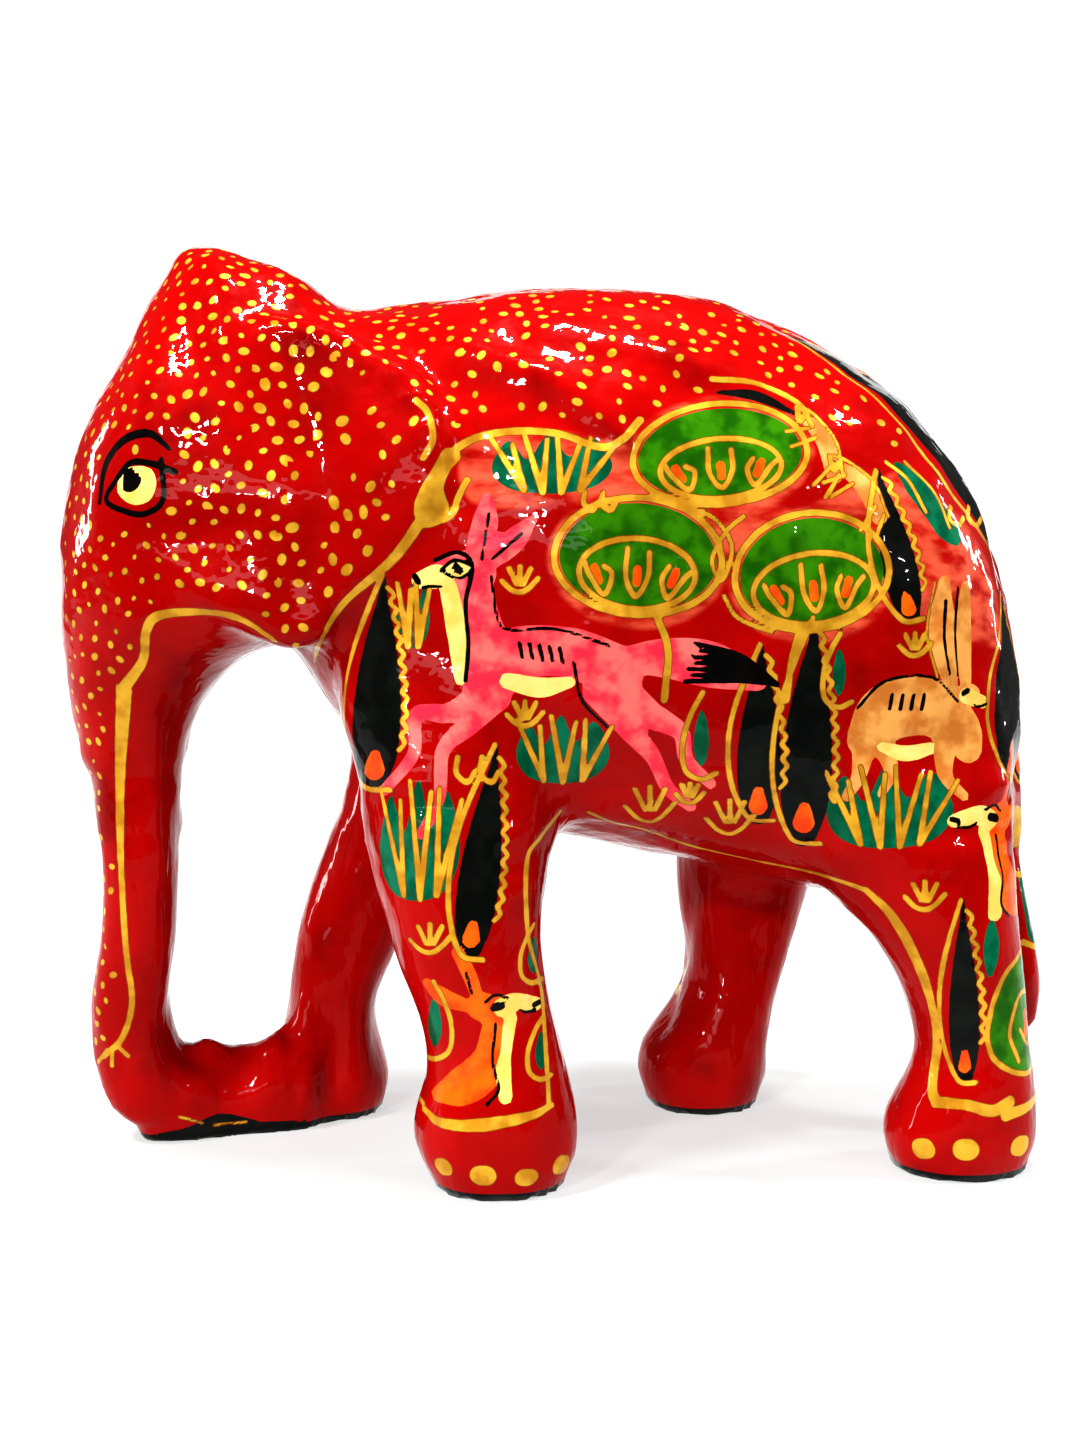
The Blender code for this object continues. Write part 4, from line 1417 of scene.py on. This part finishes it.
print("nodes so far:", len(tree.nodes))

# %% Lay the paints over the red
waver = arithmetic("MULTIPLY", arithmetic("SUBTRACT", noise_at(WAVER_SCALE, 1.0), 0.5), 2 * WAVER_MM)
tone = between(noise_at(TONE_SCALE, 3.0), 0.38, 0.64)
cloud = between(noise_at(CLOUD_SCALE, 4.0, 0.6), 0.36, 0.66)
deep = between(noise_at(CLOUD_SCALE * 1.7, 3.0), 0.52, 0.8, 0.0, 0.55)
painted_colour = mixed(deep, mixed(cloud, RED, RED_ROSE), RED_DEEP)


def laid_over(below, layer, above):
    """The colour below with a layer of paint over it."""
    edge = SOFT_EDGES.get(layer, EDGE)
    share = between(arithmetic("ADD", attribute(layer), waver), -edge, edge, 1.0, 0.0)
    return mixed(share, below, above)


streaks = node(tree, "ShaderNodeMapping", {"Vector": place, "Scale": (0.35, 1, 1)}).outputs[0]
brushed = node(tree, "ShaderNodeTexNoise", {"Vector": streaks, "Scale": STREAK_SCALE,
                                             "Detail": 3.0}).outputs["Fac"]
wash = mixed(between(brushed, 0.34, 0.68), *TONES["salmon"])
for layer in PAINTS:
    pigment = wash if layer == "salmon" else mixed(tone, *TONES[layer])
    painted_colour = laid_over(painted_colour, layer, pigment)
print("laid over the red:", PAINTS)

# %% Gold lines and dots
def vectors(operation, inputs):
    return node(tree, "ShaderNodeVectorMath", inputs, operation=operation)


gold_distance = arithmetic("ADD", arithmetic("MINIMUM", attribute("gold"), attribute("fine_gold")), waver)
lean = attribute("dot_lean", "Vector")
offset = vectors("SUBTRACT", {0: place, 1: attribute("dot_centre", "Vector")})
along = vectors("DOT_PRODUCT", {0: offset.outputs[0], 1: lean})
back = vectors("SCALE", {0: lean, "Scale": along.outputs["Value"]})
rounded = vectors("SUBTRACT", {0: offset.outputs[0], 1: back.outputs[0]})
from_centre = vectors("LENGTH", {0: rounded.outputs[0]}).outputs["Value"]
dot_distance = arithmetic("DIVIDE", arithmetic("SUBTRACT", from_centre, attribute("dot_radius")), MM)
dot_distance = arithmetic("ADD", dot_distance, waver)
gold_distance = arithmetic("MINIMUM", gold_distance, dot_distance)
gold_share = between(gold_distance, -EDGE, EDGE, 1.0, 0.0)
gold_tone = mixed(tone, GOLD, GOLD_DARK)
gold_inside = between(gold_distance, *GOLD_RIM)
painted_colour = mixed(gold_share, painted_colour, mixed(gold_inside, gold_tone, GOLD_EDGE))
painted_colour = laid_over(painted_colour, "ink", mixed(tone, *TONES["ink"]))
print("gold has a dark rim from", GOLD_RIM, "mm")

# %% Black soles and the clear coat
height = node(tree, "ShaderNodeSeparateXYZ", {0: place}).outputs["Z"]
sole = between(height, SOLE_BLACK * 0.9, SOLE_BLACK, 1.0, 0.0)
painted_colour = mixed(sole, painted_colour, TONES["black"][0])
stretched = node(tree, "ShaderNodeMapping", {"Vector": place, "Scale": (1, 1, 0.4)}).outputs[0]
leg_grain = node(tree, "ShaderNodeTexNoise", {"Vector": stretched, "Scale": LEG_GRAIN,
                                              "Detail": 2.0}).outputs["Fac"]
on_leg = between(height, *LEG_GRAIN_BLEND, 1.0, 0.0)
grain_height = node(tree, "ShaderNodeMix", {0: on_leg, 2: noise_at(BODY_GRAIN), 3: leg_grain},
                    data_type="FLOAT").outputs[0]
fine_bump = node(tree, "ShaderNodeBump", {"Height": grain_height, "Strength": GRAIN_STRENGTH,
                                          "Distance": GRAIN_DEPTH})
finish = node(tree, "ShaderNodeBsdfPrincipled",
              {"Base Color": painted_colour, "Normal": fine_bump.outputs[0],
               "Metallic": arithmetic("MULTIPLY", gold_share, GOLD_METAL),
               "Roughness": 0.38, "Specular IOR Level": 0.02,
               "Coat Weight": 1.0, "Coat Roughness": 0.03, "Coat IOR": 1.2})
tree.links.new(fine_bump.outputs[0], finish.inputs["Coat Normal"])
node(tree, "ShaderNodeOutputMaterial", {"Surface": finish.outputs[0]})
print("skin material has", len(tree.nodes), "nodes")

# %% Sow the dots and finish the body
body = add_object("elephant_body", fine_mesh)
sower = body.modifiers.new("dots", "NODES")
sower.node_group = dots_tree
for item, value in size_inputs:
    sower[item.identifier] = value
sower[material_input.identifier] = skin
dotted_mesh = evaluated_copy(body, "elephant_body")
body.modifiers.remove(sower)
body.data = dotted_mesh
body.data.shade_smooth()
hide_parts("elephant")
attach(body, "root")
print("body:", len(body.data.polygons), "faces,", [a.name for a in body.data.attributes])

# %% [markdown]
# ## The studio
# The figure stands on a white sweep, which rises behind it without a corner. The world is nearly white, so
# every edge mirrors a pale rim, and a few lights give the small hard glints on the crown, ear and back.

# %% White sweep
FLOOR_FRONT = -0.14
FLOOR_BACK = 0.9
SWEEP_RADIUS = 0.5
SWEEP_HALF_WIDTH = 0.78
SWEEP_TOP = 0.78
# Painted light: the paper glows, dimmer on the floor and brighter on the backdrop, and its grey is a little
# cyan to cancel the pink light that the red body bounces onto it.
PAPER_GLOW = (0.375, 0.7)
GLOW_FROM = 0.25
GLOW_TO = 0.8
PAPER_GREY = (0.28, 0.305, 0.305, 1)
PAPER_ROUGHNESS = 0.9
WHITE = (1, 1, 1, 1)


def white_sweep():
    bend = [(FLOOR_BACK + SWEEP_RADIUS * math.sin(a), SWEEP_RADIUS * (1 - math.cos(a)))
            for a in np.linspace(0, math.pi / 2, 16)]
    profile = [(FLOOR_FRONT, 0), *bend, (FLOOR_BACK + SWEEP_RADIUS, SWEEP_TOP)]
    corners = [(x, y, z) for x in (-SWEEP_HALF_WIDTH, SWEEP_HALF_WIDTH) for y, z in profile]
    count = len(profile)
    faces = [(i, i + count, i + count + 1, i + 1) for i in range(count - 1)]
    mesh = bpy.data.meshes.new("sweep")
    mesh.from_pydata(corners, [], faces)
    mesh.shade_smooth()
    return add_object("sweep", mesh)


paper = bpy.data.materials.new("white_paper")
paper.use_nodes = True
paper_finish = paper.node_tree.nodes["Principled BSDF"]
paper_finish.inputs["Base Color"].default_value = PAPER_GREY
paper_finish.inputs["Roughness"].default_value = PAPER_ROUGHNESS
paper_finish.inputs["Emission Color"].default_value = WHITE
paper_place = node(paper.node_tree, "ShaderNodeTexCoord").outputs["Object"]
# The glow grows from the floor to the backdrop. This painted light keeps the backdrop white while the floor
# still shows its shadows.
paper_depth = node(paper.node_tree, "ShaderNodeSeparateXYZ", {0: paper_place}).outputs["Y"]
glow = node(paper.node_tree, "ShaderNodeMapRange",
            {"Value": paper_depth, "From Min": GLOW_FROM, "From Max": GLOW_TO,
             "To Min": PAPER_GLOW[0], "To Max": PAPER_GLOW[1]})
paper.node_tree.links.new(glow.outputs[0], paper_finish.inputs["Emission Strength"])
sweep = white_sweep()
sweep.data.materials.append(paper)
print("sweep", [round(d, 2) for d in sweep.dimensions], "m")

# %% Lights and world
MIDDLE = (0, 0, 0.07)
WORLD_STRENGTH = 0.06
EXPOSURE = 0.2
# Name, place in metres, width, height and watts of each light.
LIGHTS = [
    ("overhead", (0.05, -0.02, 0.75), 0.115, 0.075, 3.6),
    ("top_left", (-0.36, -0.24, 0.62), 0.09, 0.05, 2.1),
    ("top_right", (0.4, -0.12, 0.6), 0.08, 0.05, 1.5),
    ("front_left", (-0.42, -0.7, 0.45), 0.08, 0.05, 2.2),
    ("front_panel", (-0.3, -0.8, 0.2), 0.6, 0.1, 1.0),
    ("front_right", (0.5, -0.62, 0.3), 0.04, 0.04, 0.8),
    ("low_left", (-0.27, -0.72, 0.14), 0.05, 0.035, 0.7),
    ("left_strip", (-0.62, 0.2, 0.24), 0.07, 0.3, 1.4),
    ("right_strip", (0.62, 0.16, 0.24), 0.06, 0.3, 1.2),
]


def area_light(name, place, width, height, watts):
    """A rectangle of light that faces the middle of the figure."""
    light = bpy.data.lights.new(name, "AREA")
    light.energy = watts
    light.shape = "RECTANGLE"
    light.size, light.size_y = width, height
    obj = bpy.data.objects.new(name, light)
    obj.location = place
    obj.rotation_euler = (Vector(place) - Vector(MIDDLE)).to_track_quat("Z", "Y").to_euler()
    scene.collection.objects.link(obj)


for row in LIGHTS:
    area_light(*row)
world = bpy.data.worlds.new("white_room")
scene.world = world
world.use_nodes = True
world.node_tree.nodes["Background"].inputs["Color"].default_value = WHITE
world.node_tree.nodes["Background"].inputs["Strength"].default_value = WORLD_STRENGTH
scene.view_settings.view_transform = "Standard"
scene.view_settings.look = "High Contrast"
scene.view_settings.exposure = EXPOSURE
